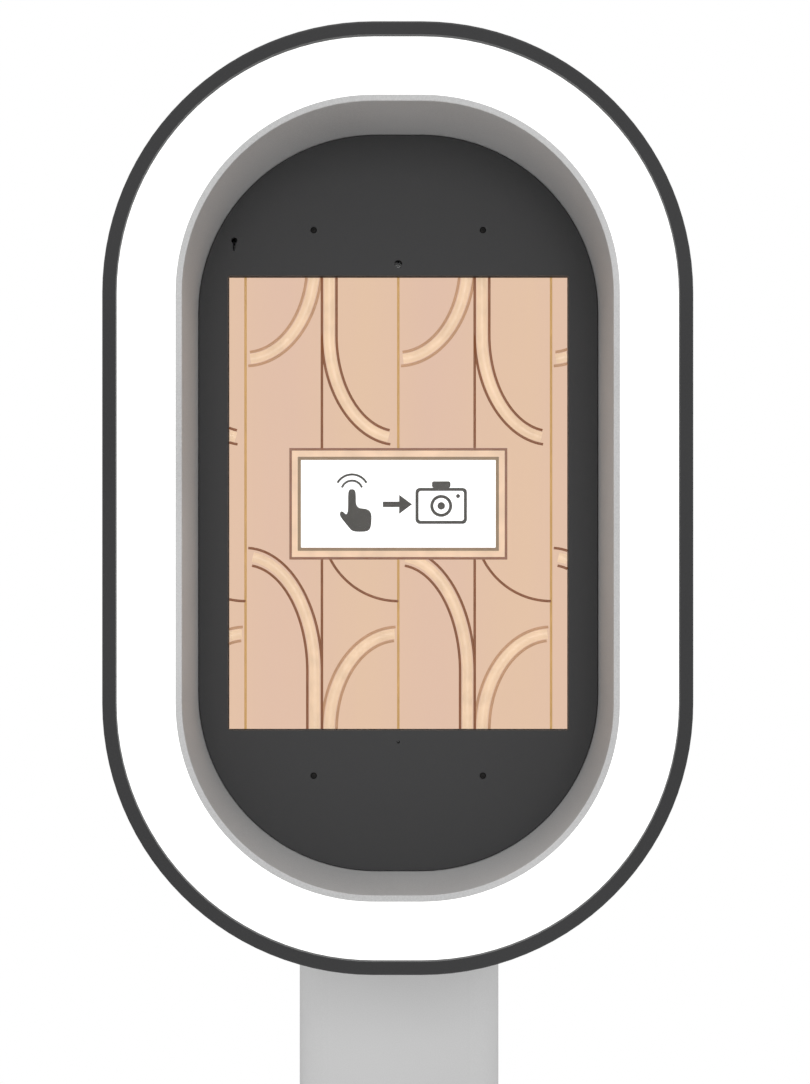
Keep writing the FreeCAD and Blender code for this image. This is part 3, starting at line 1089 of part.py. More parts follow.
# Column ----------------------------------------------------------------------------------------------------
def columns():
    """Upper tube that carries the head, sliding in the lower tube."""
    upper = body("upper_column", COLUMN_PLACE)
    pad(upper, "XY", COLUMN_BOTTOM, COLUMN_TOP, rounded(s.column_width, s.column_depth, s.column_corner))
    pocket(upper, "XY", COLUMN_BOTTOM, COLUMN_TOP,
           rounded(s.column_width - s.column_wall * 2, s.column_depth - s.column_wall * 2,
                   s.column_corner - s.column_wall))
    level = COLUMN_TOP - s.plug_drop / 2
    pocket(upper, "YZ", -s.column_width, s.column_width, discs(s.m6_radius + s.fit_gap), (0, level))

    lower = body("lower_column", COLUMN_PLACE)
    pad(lower, "XY", FOOT_TOP, s.lower_top, rounded(LOWER_WIDTH, LOWER_DEPTH, LOWER_CORNER))
    pocket(lower, "XY", FOOT_TOP, s.lower_top, rounded(BORE_WIDTH, BORE_DEPTH, BORE_CORNER))
    pocket(lower, "YZ", -LOWER_WIDTH, LOWER_WIDTH, discs(s.m6_radius + s.fit_gap), (0, FOOT_SCREW_LEVEL))


def bushes():
    """Plastic guides: one fixed at the top of the lower tube, one round the foot of the upper tube."""
    top = body("top_bush", COLUMN_PLACE)
    start = s.lower_top - s.bush_length
    play, gap = s.slide_gap * 2, s.fit_gap * 2
    outer = rounded(BORE_WIDTH - gap, BORE_DEPTH - gap, BORE_CORNER - s.fit_gap)
    pad(top, "XY", start, s.lower_top, outer)
    inner = rounded(s.column_width + play, s.column_depth + play, s.column_corner + s.slide_gap)
    pocket(top, "XY", start, s.lower_top, inner)

    bottom = body("bottom_bush", COLUMN_PLACE)
    stop = COLUMN_BOTTOM + s.bush_length
    outer = rounded(BORE_WIDTH - play, BORE_DEPTH - play, BORE_CORNER - s.slide_gap)
    pad(bottom, "XY", COLUMN_BOTTOM, stop, outer)
    inner = rounded(s.column_width + gap, s.column_depth + gap, s.column_corner + s.fit_gap)
    pocket(bottom, "XY", COLUMN_BOTTOM, stop, inner)


def height_lock():
    """Collar on the lower tube, with a knob whose stud presses a pad on the upper tube."""
    collar = body("height_collar", COLUMN_PLACE)
    start, stop = s.lower_top - s.collar_below, s.lower_top + s.collar_above
    border, gap, clear = s.collar_border * 2, s.fit_gap * 2, s.collar_clearance * 2
    outer = rounded(LOWER_WIDTH + border, LOWER_DEPTH + border, LOWER_CORNER + s.collar_border)
    block = pad(collar, "XY", start, stop, outer)
    dress(collar, "Fillet", block, flat_edges(block, "Z", stop), s.cap_round)
    boss_back = COLLAR_BACK + s.collar_boss_length
    stud_spot = (0, COLLAR_LEVEL)
    pad(collar, "XZ", COLLAR_BACK - s.collar_border, boss_back, discs(s.collar_boss_radius), stud_spot)
    seat = rounded(LOWER_WIDTH + gap, LOWER_DEPTH + gap, LOWER_CORNER + s.fit_gap)
    pocket(collar, "XY", start, s.lower_top, seat)
    throat = rounded(s.column_width + clear, s.column_depth + clear, s.column_corner + s.collar_clearance)
    pocket(collar, "XY", s.lower_top, stop, throat)
    pad_front = s.column_depth / 2
    pad_back = pad_front + s.pad_thickness
    pocket(collar, "XZ", pad_front, boss_back, discs(s.knob_stud_radius + s.running_gap), stud_spot)
    pocket(collar, "XZ", pad_front, pad_back + s.fit_play, discs(s.pad_radius + s.fit_gap), stud_spot)

    shoe = body("height_pad", COLUMN_PLACE)
    pad(shoe, "XZ", pad_front + s.slide_gap, pad_back, discs(s.pad_radius), stud_spot)

    place = (0, COLUMN_Y, COLLAR_LEVEL)
    knob = star_knob("height_knob", place, "XZ", boss_back + s.fit_play, None, None)
    pad(knob, "XZ", pad_back + s.fit_gap, boss_back + s.star_length, discs(s.knob_stud_radius))


def gas_spring():
    """Lift-assist spring in the column: cylinder on the foot, rod and piston fixed in the upper tube."""
    cylinder = body("gas_spring_body", COLUMN_PLACE)
    bore_radius = s.spring_radius - s.spring_wall
    pad(cylinder, "XY", BASE_TOP + s.fit_play, s.spring_bottom, discs(s.spring_foot))
    pad(cylinder, "XY", s.spring_bottom, SPRING_TOP, discs(s.spring_radius))
    pocket(cylinder, "XY", s.spring_bottom + s.spring_cap, SPRING_BORE_TOP, discs(bore_radius))
    pocket(cylinder, "XY", SPRING_BORE_TOP, SPRING_TOP, discs(s.rod_radius + s.running_gap))

    rod = body("gas_spring_rod", COLUMN_PLACE)
    plug_low = COLUMN_BOTTOM + s.fit_play
    rod_low = s.spring_bottom + s.spring_cap + s.spring_reserve
    pad(rod, "XY", rod_low, plug_low + s.mast_plug_height, discs(s.rod_radius))
    pad(rod, "XY", rod_low, rod_low + s.piston_length, discs(bore_radius - s.piston_gap))

    plug = body("mast_plug", COLUMN_PLACE)
    inside = (s.column_wall + s.fit_gap) * 2
    outline = rounded(s.column_width - inside, s.column_depth - inside, s.column_corner - inside / 2)
    pad(plug, "XY", plug_low, plug_low + s.mast_plug_height, outline)
    pocket(plug, "XY", plug_low, plug_low + s.mast_plug_height, discs(s.rod_radius + s.fit_gap))


# Base ------------------------------------------------------------------------------------------------------
def column_foot():
    """Cast foot: a flange on the base plate and a hollow plug inside the lower tube."""
    made = body("column_foot", COLUMN_PLACE)
    border = s.foot_border * 2
    outline = rounded(LOWER_WIDTH + border, LOWER_DEPTH + border, LOWER_CORNER + s.foot_border / 2)
    flange = pad(made, "XY", BASE_TOP, FOOT_TOP, outline)
    dress(made, "Fillet", flange, flat_edges(flange, "Z", FOOT_TOP), s.base_bevel)
    width, depth = BORE_WIDTH - s.fit_play * 2, BORE_DEPTH - s.fit_play * 2
    corner, wall = BORE_CORNER - s.fit_play, s.foot_wall * 2
    top = FOOT_TOP + s.foot_height
    pad(made, "XY", FOOT_TOP, top, rounded(width, depth, corner))
    pocket(made, "XY", FOOT_TOP, top, rounded(width - wall, depth - wall, corner - s.foot_wall))
    pocket(made, "XY", BASE_TOP, FOOT_TOP, discs(s.spring_foot + s.fit_gap))
    hole = discs(s.m6_radius + s.fit_gap)
    pocket(made, "YZ", -LOWER_WIDTH / 2, LOWER_WIDTH / 2, hole, (0, FOOT_SCREW_LEVEL))
    pocket(made, "XY", BASE_TOP, FOOT_TOP, discs(s.m6_radius + s.fit_gap, FLANGE_SCREWS))


FLANGE_SCREWS = corners_of(LOWER_WIDTH / 2 + s.foot_border - s.foot_screw_inset,
                           LOWER_DEPTH / 2 + s.foot_border - s.foot_screw_inset)


def base_plate():
    """Heavy steel plate with rounded corners and a bevelled top edge."""
    made = body("base_plate", FLOOR_PLACE)
    plate = pad(made, "XY", s.rubber_height, BASE_TOP, rounded(s.base_width, s.base_depth, s.base_corner))
    dress(made, "Chamfer", plate, flat_edges(plate, "Z", BASE_TOP), s.base_bevel)
    spots = [(x, COLUMN_Y + y) for x, y in FLANGE_SCREWS]
    tip = FOOT_TOP - s.m6_length
    pocket(made, "XY", tip - 1, BASE_TOP, discs(s.m6_radius + s.fit_gap, spots))


def rubber_feet():
    """Four round rubber feet bonded under the plate."""
    made = body("rubber_feet", FLOOR_PLACE)
    spots = corners_of(s.base_width / 2 - s.rubber_inset, s.base_depth / 2 - s.rubber_inset)
    feet = pad(made, "XY", 0, s.rubber_height, discs(s.rubber_radius, spots))
    dress(made, "Chamfer", feet, flat_edges(feet, "Z", 0), s.base_bevel / 2)


# Assembly --------------------------------------------------------------------------------------------------
def build():
    front_bezel()
    light_diffuser()
    light_tray()
    led_strip()
    ring_spacers()
    frame_screws()
    reveal_ring()
    faceplate()
    faceplate_fixings()
    tablet()
    tablet_buttons()
    tablet_cup()
    tablet_clips()
    cradle_plate()
    rear_shell()
    rear_shell_screws()
    rear_panel()
    rear_panel_screws()
    chassis_posts()
    led_driver()
    control_board()
    usb_supply()
    charge_plug()
    charge_lead()
    signal_leads()
    mains_leads()
    power_inlet()
    rocker_frame()
    power_rocker()
    dimmer()
    head_bracket()
    bracket_bolts()
    tilt_bolt()
    tilt_washers()
    star_knob("tilt_knob", TILT_PLACE, "YZ", STAR_START, s.bolt_radius + s.fit_gap, s.star_bore_depth)
    column_head()
    head_screw_level = float(COLUMN_TOP - s.plug_drop / 2)
    side_screws("column_head_screws", float(s.column_width) / 2, [head_screw_level], COLUMN_PLACE)
    columns()
    bushes()
    height_lock()
    gas_spring()
    column_foot()
    flange_seats = [(V(float(x), float(y), float(FOOT_TOP)), V(0, 0, -1)) for x, y in FLANGE_SCREWS]
    side_screws("foot_screws", float(LOWER_WIDTH) / 2, [float(FOOT_SCREW_LEVEL)], COLUMN_PLACE, flange_seats)
    base_plate()
    rubber_feet()


def check():
    """Stops on a failed object, a pocket that cut nothing, or a shape that isn't a valid solid."""
    doc.recompute()
    for thing in doc.Objects:
        if "Invalid" in thing.State or "Error" in thing.State:
            raise ValueError(f"{thing.Name} ({thing.Label}) failed: {thing.State}")
        if thing.TypeId == "PartDesign::Pocket" and thing.BaseFeature:
            if thing.BaseFeature.Shape.Volume - thing.Shape.Volume < 1e-3:
                raise ValueError(f"{thing.Name} in {thing.getParentGeoFeatureGroup().Label} cut nothing")
    for part in parts:
        if part.Shape.isNull() or not part.Shape.isValid() or not part.Shape.Solids:
            raise ValueError(f"{part.Label} isn't a valid solid")


def write():
    os.makedirs("parts", exist_ok=True)
    for part in parts:
        part.Shape.exportStep(os.path.join("parts", part.Label + ".step"))
        solids = part.Shape.Solids
        print(f"{part.Label:22s} {len(solids):3d} solids {sum(x.Volume for x in solids) / 1000:10.2f} cm3")
    print(len(parts), "nodes")


build()
check()
write()
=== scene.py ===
# %% [markdown]
# # A photo booth: a lit ring round a screen, on a column
# The real machine is a sheet-metal and moulded-plastic head on a tube column. Its sizes are settled in a CAD
# model, so this script opens that model as a fixed frame and adds what CAD leaves out: finishes, light, the
# picture on the screen, and small soldered, printed or moulded details. Every length is in metres.

# %% open the frame
import json
import math
import bmesh
import bpy
from mathutils import Matrix, Vector


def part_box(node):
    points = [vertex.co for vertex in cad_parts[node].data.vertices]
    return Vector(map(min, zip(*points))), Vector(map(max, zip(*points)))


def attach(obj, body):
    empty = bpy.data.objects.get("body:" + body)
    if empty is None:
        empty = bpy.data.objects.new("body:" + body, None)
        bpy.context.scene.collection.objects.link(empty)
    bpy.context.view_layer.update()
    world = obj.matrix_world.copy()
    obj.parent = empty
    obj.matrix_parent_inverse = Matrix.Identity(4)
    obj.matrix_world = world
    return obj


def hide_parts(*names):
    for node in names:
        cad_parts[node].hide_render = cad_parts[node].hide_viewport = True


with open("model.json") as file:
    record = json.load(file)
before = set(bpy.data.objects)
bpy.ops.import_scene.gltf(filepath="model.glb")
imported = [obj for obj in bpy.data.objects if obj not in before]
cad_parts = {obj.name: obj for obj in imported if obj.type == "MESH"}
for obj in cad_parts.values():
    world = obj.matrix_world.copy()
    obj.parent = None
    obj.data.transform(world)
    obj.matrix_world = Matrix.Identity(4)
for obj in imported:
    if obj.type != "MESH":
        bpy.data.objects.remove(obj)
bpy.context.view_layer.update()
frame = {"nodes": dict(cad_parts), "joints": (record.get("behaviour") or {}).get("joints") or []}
MM = 0.001

# %% [markdown]
# ## Where things are
# Nothing is placed by eye. The head's front plane, its middle and its back come from the boxes of the CAD
# pieces, so a detail that is added here stays right if the CAD model changes.

# %% landmarks of the head
bezel_low, bezel_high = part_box("front_bezel")
HEAD_FRONT = bezel_low.y
HEAD_MIDDLE = (bezel_low.z + bezel_high.z) / 2
HEAD_WIDE = bezel_high.x - bezel_low.x
HEAD_TALL = bezel_high.z - bezel_low.z
TOP_FLAT = 26 * MM
HEAD_CORNER = (HEAD_WIDE - TOP_FLAT) / 2
print("head front", round(HEAD_FRONT, 4), "middle", round(HEAD_MIDDLE, 4),
      "size", round(HEAD_WIDE, 4), round(HEAD_TALL, 4))

# %% [markdown]
# ## The camera
# A product picture of a tall, narrow machine is taken level and square on, so that its edges stay parallel.
# The camera looks along +Y at the height of the screen's lower half, and the film's long side is upright.

# %% camera, level and square on
camera = bpy.data.objects.new("camera", bpy.data.cameras.new("camera"))
camera.location = (0.0039, -0.835, 1.264)
camera.rotation_euler = (math.radians(90), 0, 0)
camera.data.lens = 43.24
camera.data.shift_y = 0.0213         # the frame is a little higher than the lens, as with a rising front
bpy.context.scene.collection.objects.link(camera)
bpy.context.scene.camera = camera
print("camera", round(camera.data.lens, 2), "mm, at", [round(v, 3) for v in camera.location])

# %% [markdown]
# ## The studio
# Catalogue pictures of dark machines are lit by a white tent: light comes from all sides, and shapes are
# read from soft falls of light instead of hard shadows. A white world does that. What the lens sees behind
# the machine is pure white, and the light that the tent gives is a little weaker, so that a large soft lamp
# in front, one above and a weaker one at each side can still shape the edges.

# %% white tent and four soft lamps
scene = bpy.context.scene
scene.view_settings.view_transform = "Standard"
scene.world = bpy.data.worlds.new("white_tent")
scene.world.use_nodes = True
tent = scene.world.node_tree
backdrop = tent.nodes["Background"]
backdrop.inputs["Color"].default_value = (1, 1, 1, 1)
backdrop.inputs["Strength"].default_value = 1.0
tent_light = tent.nodes.new("ShaderNodeBackground")
tent_light.inputs["Color"].default_value = (1, 1, 1, 1)
tent_light.inputs["Strength"].default_value = 0.54
chooser = tent.nodes.new("ShaderNodeMixShader")
tent.links.new(tent.nodes.new("ShaderNodeLightPath").outputs["Is Camera Ray"], chooser.inputs["Fac"])
tent.links.new(tent_light.outputs["Background"], chooser.inputs[1])
tent.links.new(backdrop.outputs["Background"], chooser.inputs[2])
tent.links.new(chooser.outputs["Shader"], tent.nodes["World Output"].inputs["Surface"])


def soft_lamp(name, place, target, size, power):
    """A square lamp at place that shines on target."""
    lamp = bpy.data.objects.new(name, bpy.data.lights.new(name, "AREA"))
    lamp.data.size = size
    lamp.data.energy = power
    lamp.location = place
    lamp.rotation_euler = (Vector(target) - Vector(place)).to_track_quat("-Z", "Y").to_euler()
    scene.collection.objects.link(lamp)
    return lamp


front = soft_lamp("lamp_front", (0.2, -3.4, 1.9), (0, 0, 1.1), 2.2, 44)
front.visible_glossy = False        # a square of light in the glass would hide the picture
soft_lamp("lamp_above", (0.0, -0.6, 3.4), (0, 0, 1.0), 1.6, 12)
soft_lamp("lamp_left", (-2.6, 0.9, 2.0), (0, 0, 1.0), 1.2, 7)
soft_lamp("lamp_right", (2.4, 1.8, 2.4), (0, 0, 1.0), 1.4, 14)

# %% [markdown]
# ## Making a finish
# A finish is a small network: the place on the piece (Object coordinates, so it never slides), a pattern at
# the size the real one has, and the shader. These short helpers add a node and join it, mix two colours,
# and stretch a value between two limits, so each finish below reads as a recipe.

# %% helpers for finishes
def new_finish(name):
    """An empty finish, its network, and its shader."""
    finish = bpy.data.materials.new(name)
    finish.use_nodes = True
    return finish, finish.node_tree, finish.node_tree.nodes["Principled BSDF"]


def add(tree, kind, settings=None, **sockets):
    """Adds a node; a socket gets a value, or a link when it is given another node's output."""
    made = tree.nodes.new(kind)
    for label, value in (settings or {}).items():
        setattr(made, label, value)
    for label, value in sockets.items():
        join(tree, value, made.inputs[label.replace("_", " ")])
    return made


def join(tree, value, socket):
    """Links value into a socket if it is an output, and sets it otherwise."""
    if isinstance(value, bpy.types.NodeSocket):
        tree.links.new(value, socket)
    else:
        socket.default_value = value


def place_on(tree, stretch=(1, 1, 1)):
    """Place on the piece in metres, stretched where a pattern has a grain."""
    spot = add(tree, "ShaderNodeTexCoord").outputs["Object"]
    return add(tree, "ShaderNodeMapping", Vector=spot, Scale=stretch).outputs["Vector"]


def grain(tree, spot, size, detail=2.0, rough=0.5):
    """Cloudy pattern whose patches are about size across."""
    return add(tree, "ShaderNodeTexNoise", Vector=spot, Scale=1 / size, Detail=detail,
               Roughness=rough).outputs["Fac"]


def between(tree, value, low, high, start=0.3, stop=0.7):
    """Value, stretched so that start to stop becomes low to high."""
    made = add(tree, "ShaderNodeMapRange", Value=value)
    for label, number in (("From Min", start), ("From Max", stop), ("To Min", low), ("To Max", high)):
        made.inputs[label].default_value = number
    return made.outputs["Result"]


def mixed(tree, share, first, second):
    """first where share is 0, second where it is 1."""
    made = tree.nodes.new("ShaderNodeMix")
    made.data_type = "RGBA"
    join(tree, share, made.inputs[0])
    for socket, colour in ((made.inputs[6], first), (made.inputs[7], second)):
        join(tree, colour if isinstance(colour, bpy.types.NodeSocket) else (*colour, 1), socket)
    return made.outputs[2]


def tint(colour, factor):
    """The same colour, lighter or darker."""
    return tuple(min(1.0, part * factor) for part in colour)


def relief(tree, height, depth, strength=1.0):
    """Height pattern turned into a surface direction."""
    return add(tree, "ShaderNodeBump", Height=height, Distance=depth, Strength=strength).outputs["Normal"]


print("helpers ready")

# %% [markdown]
# ## Moulded plastic
# A moulded shell copies the spark-eroded texture of its steel mould: tiny even pits that break up the gloss.
# The pattern could be a displaced mesh, but pits a third of a millimetre wide need far too many faces, so
# they are a relief in the shader, with faint broad drifts in gloss where the plastic flowed.

# %% recipe: moulded plastic
def moulded_plastic(name, colour, pit=0.35 * MM, gloss=0.45, shine=0.5):
    """Satin plastic with the fine pits of its mould."""
    finish, tree, shader = new_finish(name)
    spot = place_on(tree)
    pits = add(tree, "ShaderNodeTexVoronoi", Vector=spot, Scale=1 / pit).outputs["Distance"]
    cloud = grain(tree, spot, 2.5 * pit, 3.0)
    drift = grain(tree, spot, 90 * MM, 1.0)
    tone = mixed(tree, between(tree, drift, 0, 1), tint(colour, 0.93), tint(colour, 1.07))
    speck = mixed(tree, between(tree, cloud, 0, 0.5), tone, tint(colour, 1.3))
    join(tree, speck, shader.inputs["Base Color"])
    join(tree, between(tree, cloud, gloss - 0.07, gloss + 0.07), shader.inputs["Roughness"])
    height = add(tree, "ShaderNodeMath", {"operation": "MULTIPLY"})
    join(tree, pits, height.inputs[0])
    join(tree, cloud, height.inputs[1])
    join(tree, relief(tree, height.outputs[0], 0.05 * MM, 0.7), shader.inputs["Normal"])
    shader.inputs["Specular IOR Level"].default_value = shine
    print("finish", name)
    return finish


# %% [markdown]
# ## Powder coat
# Powder is baked onto the metal and flows into a fine orange peel, with a slightly grainy, satin gloss. Two
# noises do it: a fine one for the peel and a broad one for small changes in tone between panels.

# %% recipe: powder coat
def powder_coat(name, colour, peel=0.9 * MM, gloss=0.5, shine=0.5, drift=0.035):
    """Baked paint with a fine orange peel; drift is how far its tone wanders over a panel."""
    finish, tree, shader = new_finish(name)
    spot = place_on(tree)
    fine = grain(tree, spot, peel, 3.0, 0.6)
    broad = grain(tree, spot, 140 * MM, 2.0)
    tone = mixed(tree, between(tree, broad, 0, 1), tint(colour, 1 - drift), tint(colour, 1 + drift))
    flecked = mixed(tree, between(tree, fine, 0, 0.35, 0.35, 0.8), tone, tint(colour, 1.18))
    join(tree, flecked, shader.inputs["Base Color"])
    join(tree, between(tree, broad, gloss - 0.05, gloss + 0.05), shader.inputs["Roughness"])
    join(tree, relief(tree, fine, 0.06 * MM, 0.6), shader.inputs["Normal"])
    shader.inputs["Specular IOR Level"].default_value = shine
    print("finish", name)
    return finish


# %% [markdown]
# ## Bare and plated metal
# Brackets and screws are zinc or nickel plated, rods are ground, cases are extruded. All are one metal
# shader: what tells them apart is the grain, which runs one way on ground or drawn metal and is cloudy on
# plated metal, and how sharp the gloss is. The grain is made by stretching the place before the noise.

# %% recipe: bare and plated metal
def bare_metal(name, colour, gloss=0.3, grain_size=0.3 * MM, stretch=(1, 1, 1), cloud=0.15):
    """Metal with a drawn grain along its least stretched way, and a faint cloud in its tone."""
    finish, tree, shader = new_finish(name)
    lines = grain(tree, place_on(tree, stretch), grain_size, 2.0, 0.6)
    patches = grain(tree, place_on(tree), 6 * MM, 3.0)
    tone = mixed(tree, between(tree, patches, 0, 1), tint(colour, 1 - cloud), tint(colour, 1 + cloud))
    join(tree, tone, shader.inputs["Base Color"])
    join(tree, between(tree, lines, max(0.04, gloss - 0.08), gloss + 0.1), shader.inputs["Roughness"])
    join(tree, relief(tree, lines, 0.02 * MM, 0.5), shader.inputs["Normal"])
    shader.inputs["Metallic"].default_value = 1.0
    print("finish", name)
    return finish


# %% [markdown]
# ## Lit surfaces
# The ring is an opal sheet with a light strip behind it: it is so bright that it reads as plain white, and
# only close to its edges does it fall off a little. This finish leaves that fall-off out and gives soft
# patches of a slightly different colour instead. A screen is the same idea with a colour. Both give light of
# their own, so the shader's emission carries the look, and the surface under it stays pale and smooth.

# %% recipe: glowing surface
def glowing(name, colour, dimmer_colour, patch, strength, gloss=0.35):
    """A surface that gives light, with soft patches of a slightly different colour."""
    finish, tree, shader = new_finish(name)
    cloud = grain(tree, place_on(tree), patch, 1.0)
    light = mixed(tree, between(tree, cloud, 0, 1), colour, dimmer_colour)
    join(tree, light, shader.inputs["Emission Color"])
    shader.inputs["Emission Strength"].default_value = strength
    shader.inputs["Base Color"].default_value = (*tint(colour, 0.3), 1)
    shader.inputs["Roughness"].default_value = gloss
    print("finish", name)
    return finish


# %% [markdown]
# ## The finishes of this machine
# Each finish is named for what it is on the machine. The colours of the dark head and the grey column were
# chosen under the white tent, where a surface looks about as light as its own colour.

# %% dark head and grey column
satin_black = moulded_plastic("satin_black_shell", (0.036, 0.036, 0.037), 0.4 * MM, 0.5, 0.35)
plate_black = powder_coat("matt_black_plate", (0.049, 0.049, 0.05), 0.7 * MM, 0.6, 0.35)
panel_black = powder_coat("textured_black_panel", (0.03, 0.03, 0.031), 1.4 * MM, 0.6, 0.35)
bracket_black = powder_coat("black_bracket", (0.028, 0.028, 0.029), 0.9 * MM, 0.45)
column_grey = powder_coat("light_grey_column", (0.67, 0.67, 0.67), 0.8 * MM, 0.5, 0.3)
base_grey = powder_coat("light_grey_base", (0.62, 0.62, 0.62), 1.0 * MM, 0.5, 0.3)
reveal_grey = moulded_plastic("satin_light_grey", (0.54, 0.54, 0.54), 0.3 * MM, 0.5, 0.3)
inner_white = powder_coat("white_tray", (0.82, 0.82, 0.8), 1.0 * MM, 0.55)

# %% small plastics
black_moulding = moulded_plastic("black_moulding", (0.022, 0.022, 0.023), 0.5 * MM, 0.42)
grip_black = moulded_plastic("grip_black", (0.03, 0.03, 0.031), 0.9 * MM, 0.6)
rocker_black = moulded_plastic("gloss_black", (0.016, 0.016, 0.017), 0.25 * MM, 0.18)
white_moulding = moulded_plastic("white_moulding", (0.8, 0.8, 0.78), 0.3 * MM, 0.3)
bush_plastic = moulded_plastic("low_friction_bush", (0.11, 0.11, 0.11), 0.6 * MM, 0.55)
washer_fibre = moulded_plastic("friction_washer", (0.62, 0.58, 0.5), 0.8 * MM, 0.7)
tape_white = moulded_plastic("light_tape", (0.8, 0.78, 0.7), 0.6 * MM, 0.5)

# %% metals
zinc = bare_metal("zinc_plate", (0.62, 0.63, 0.64), 0.32, 0.8 * MM, cloud=0.12)
zinc_screw = bare_metal("zinc_screw", (0.6, 0.6, 0.58), 0.28, 0.5 * MM, cloud=0.1)
black_screw = bare_metal("black_oxide", (0.035, 0.034, 0.033), 0.42, 0.4 * MM, cloud=0.2)
plain_steel = bare_metal("plain_steel", (0.56, 0.56, 0.57), 0.3, 0.4 * MM, (1, 1, 0.05))
nickel = bare_metal("nickel_plate", (0.75, 0.73, 0.69), 0.14, 0.6 * MM, cloud=0.05)
blasted_aluminium = bare_metal("blasted_aluminium", (0.6, 0.61, 0.62), 0.42, 0.25 * MM, cloud=0.04)
drawn_aluminium = bare_metal("extruded_case", (0.66, 0.67, 0.68), 0.34, 0.3 * MM, (1, 1, 0.04), 0.06)
ground_rod = bare_metal("hard_chrome_rod", (0.8, 0.8, 0.8), 0.1, 0.25 * MM, (1, 1, 0.1), 0.03)
cylinder_black = powder_coat("gloss_black_cylinder", (0.022, 0.022, 0.022), 1.2 * MM, 0.22)

# %% [markdown]
# ## Rubber and leads
# Feet and lead jackets are soft: no mirror in them, a dusty sheen at grazing angles, and a fine ripple where
# the extruder or the mould left its mark.

# %% recipe: rubber
def rubber(name, colour, ripple=0.8 * MM, gloss=0.62):
    """Dull soft plastic or rubber with a fine ripple."""
    finish, tree, shader = new_finish(name)
    spot = place_on(tree)
    fine = grain(tree, spot, ripple, 2.0)
    dust = grain(tree, spot, 14 * MM, 4.0, 0.6)
    dusty = mixed(tree, between(tree, dust, 0, 0.4), colour, tint(colour, 1.5))
    join(tree, dusty, shader.inputs["Base Color"])
    join(tree, between(tree, dust, gloss - 0.08, gloss + 0.12), shader.inputs["Roughness"])
    join(tree, relief(tree, fine, 0.05 * MM, 0.5), shader.inputs["Normal"])
    shader.inputs["Sheen Weight"].default_value = 0.15
    shader.inputs["Sheen Roughness"].default_value = 0.5
    print("finish", name)
    return finish


foot_rubber = rubber("foot_rubber", (0.028, 0.028, 0.028), 1.2 * MM)
white_jacket = rubber("white_jacket", (0.78, 0.78, 0.76), 0.6 * MM, 0.45)
black_jacket = rubber("black_jacket", (0.025, 0.025, 0.025), 0.6 * MM, 0.45)

# %% [markdown]
# ## The circuit board
# A board's face is green resist over copper tracks that run in straight lines. Square cells of a stretched
# brick pattern make the tracks, and where a second pattern crosses them the resist is left open and the
# tinned copper shows.

# %% recipe: circuit board
def circuit_board(name, resist, copper):
    """Green resist over raised tracks, with tinned pads."""
    finish, tree, shader = new_finish(name)
    spot = add(tree, "ShaderNodeTexCoord").outputs["Object"]
    turned = add(tree, "ShaderNodeMapping", Vector=spot, Rotation=(math.radians(90), 0, 0)).outputs["Vector"]
    tracks = add(tree, "ShaderNodeTexBrick", Vector=turned, Scale=120.0)
    tracks.inputs["Mortar Size"].default_value = 0.06
    track = tracks.outputs["Fac"]
    pads = add(tree, "ShaderNodeTexVoronoi", {"distance": "CHEBYCHEV"}, Vector=turned, Scale=260.0)
    pad = between(tree, pads.outputs["Distance"], 1, 0, 0.16, 0.2)
    base = mixed(tree, track, resist, tint(resist, 1.7))
    join(tree, mixed(tree, pad, base, copper), shader.inputs["Base Color"])
    join(tree, between(tree, pad, 0.3, 0.45, 0, 1), shader.inputs["Roughness"])
    join(tree, relief(tree, track, 0.05 * MM, 0.6), shader.inputs["Normal"])
    print("finish", name)
    return finish


board_green = circuit_board("green_board", (0.02, 0.14, 0.05), (0.55, 0.5, 0.42))

# %% [markdown]
# ## Glass over the screen
# The cover is one sheet of clear, hard glass. It has to let the screen's light through untouched and still
# catch a faint reflection, so it is a transmitting shader with almost no roughness, and a very slight
# waviness.

# %% recipe: clear cover glass
def clear_glass(name):
    """Clear glass with a trace of waviness."""
    finish, tree, shader = new_finish(name)
    wave = grain(tree, place_on(tree), 60 * MM, 1.0)
    join(tree, mixed(tree, wave, (0.985, 0.99, 0.99), (1, 1, 1)), shader.inputs["Base Color"])
    join(tree, between(tree, wave, 0.0, 0.02), shader.inputs["Roughness"])
    shader.inputs["Transmission Weight"].default_value = 1.0
    shader.inputs["IOR"].default_value = 1.3
    print("finish", name)
    return finish


cover_glass = clear_glass("clear_cover_glass")
lens_black = moulded_plastic("lens_black", (0.01, 0.01, 0.014), 0.2 * MM, 0.08)
ring_light = glowing("opal_lit_from_behind", (1.0, 1.0, 0.985), (0.97, 0.975, 0.97), 60 * MM, 1.15)

# %% [markdown]
# ## Dressing the CAD pieces
# The CAD pieces already have their true shape, so they stay, and each takes its finish by name.

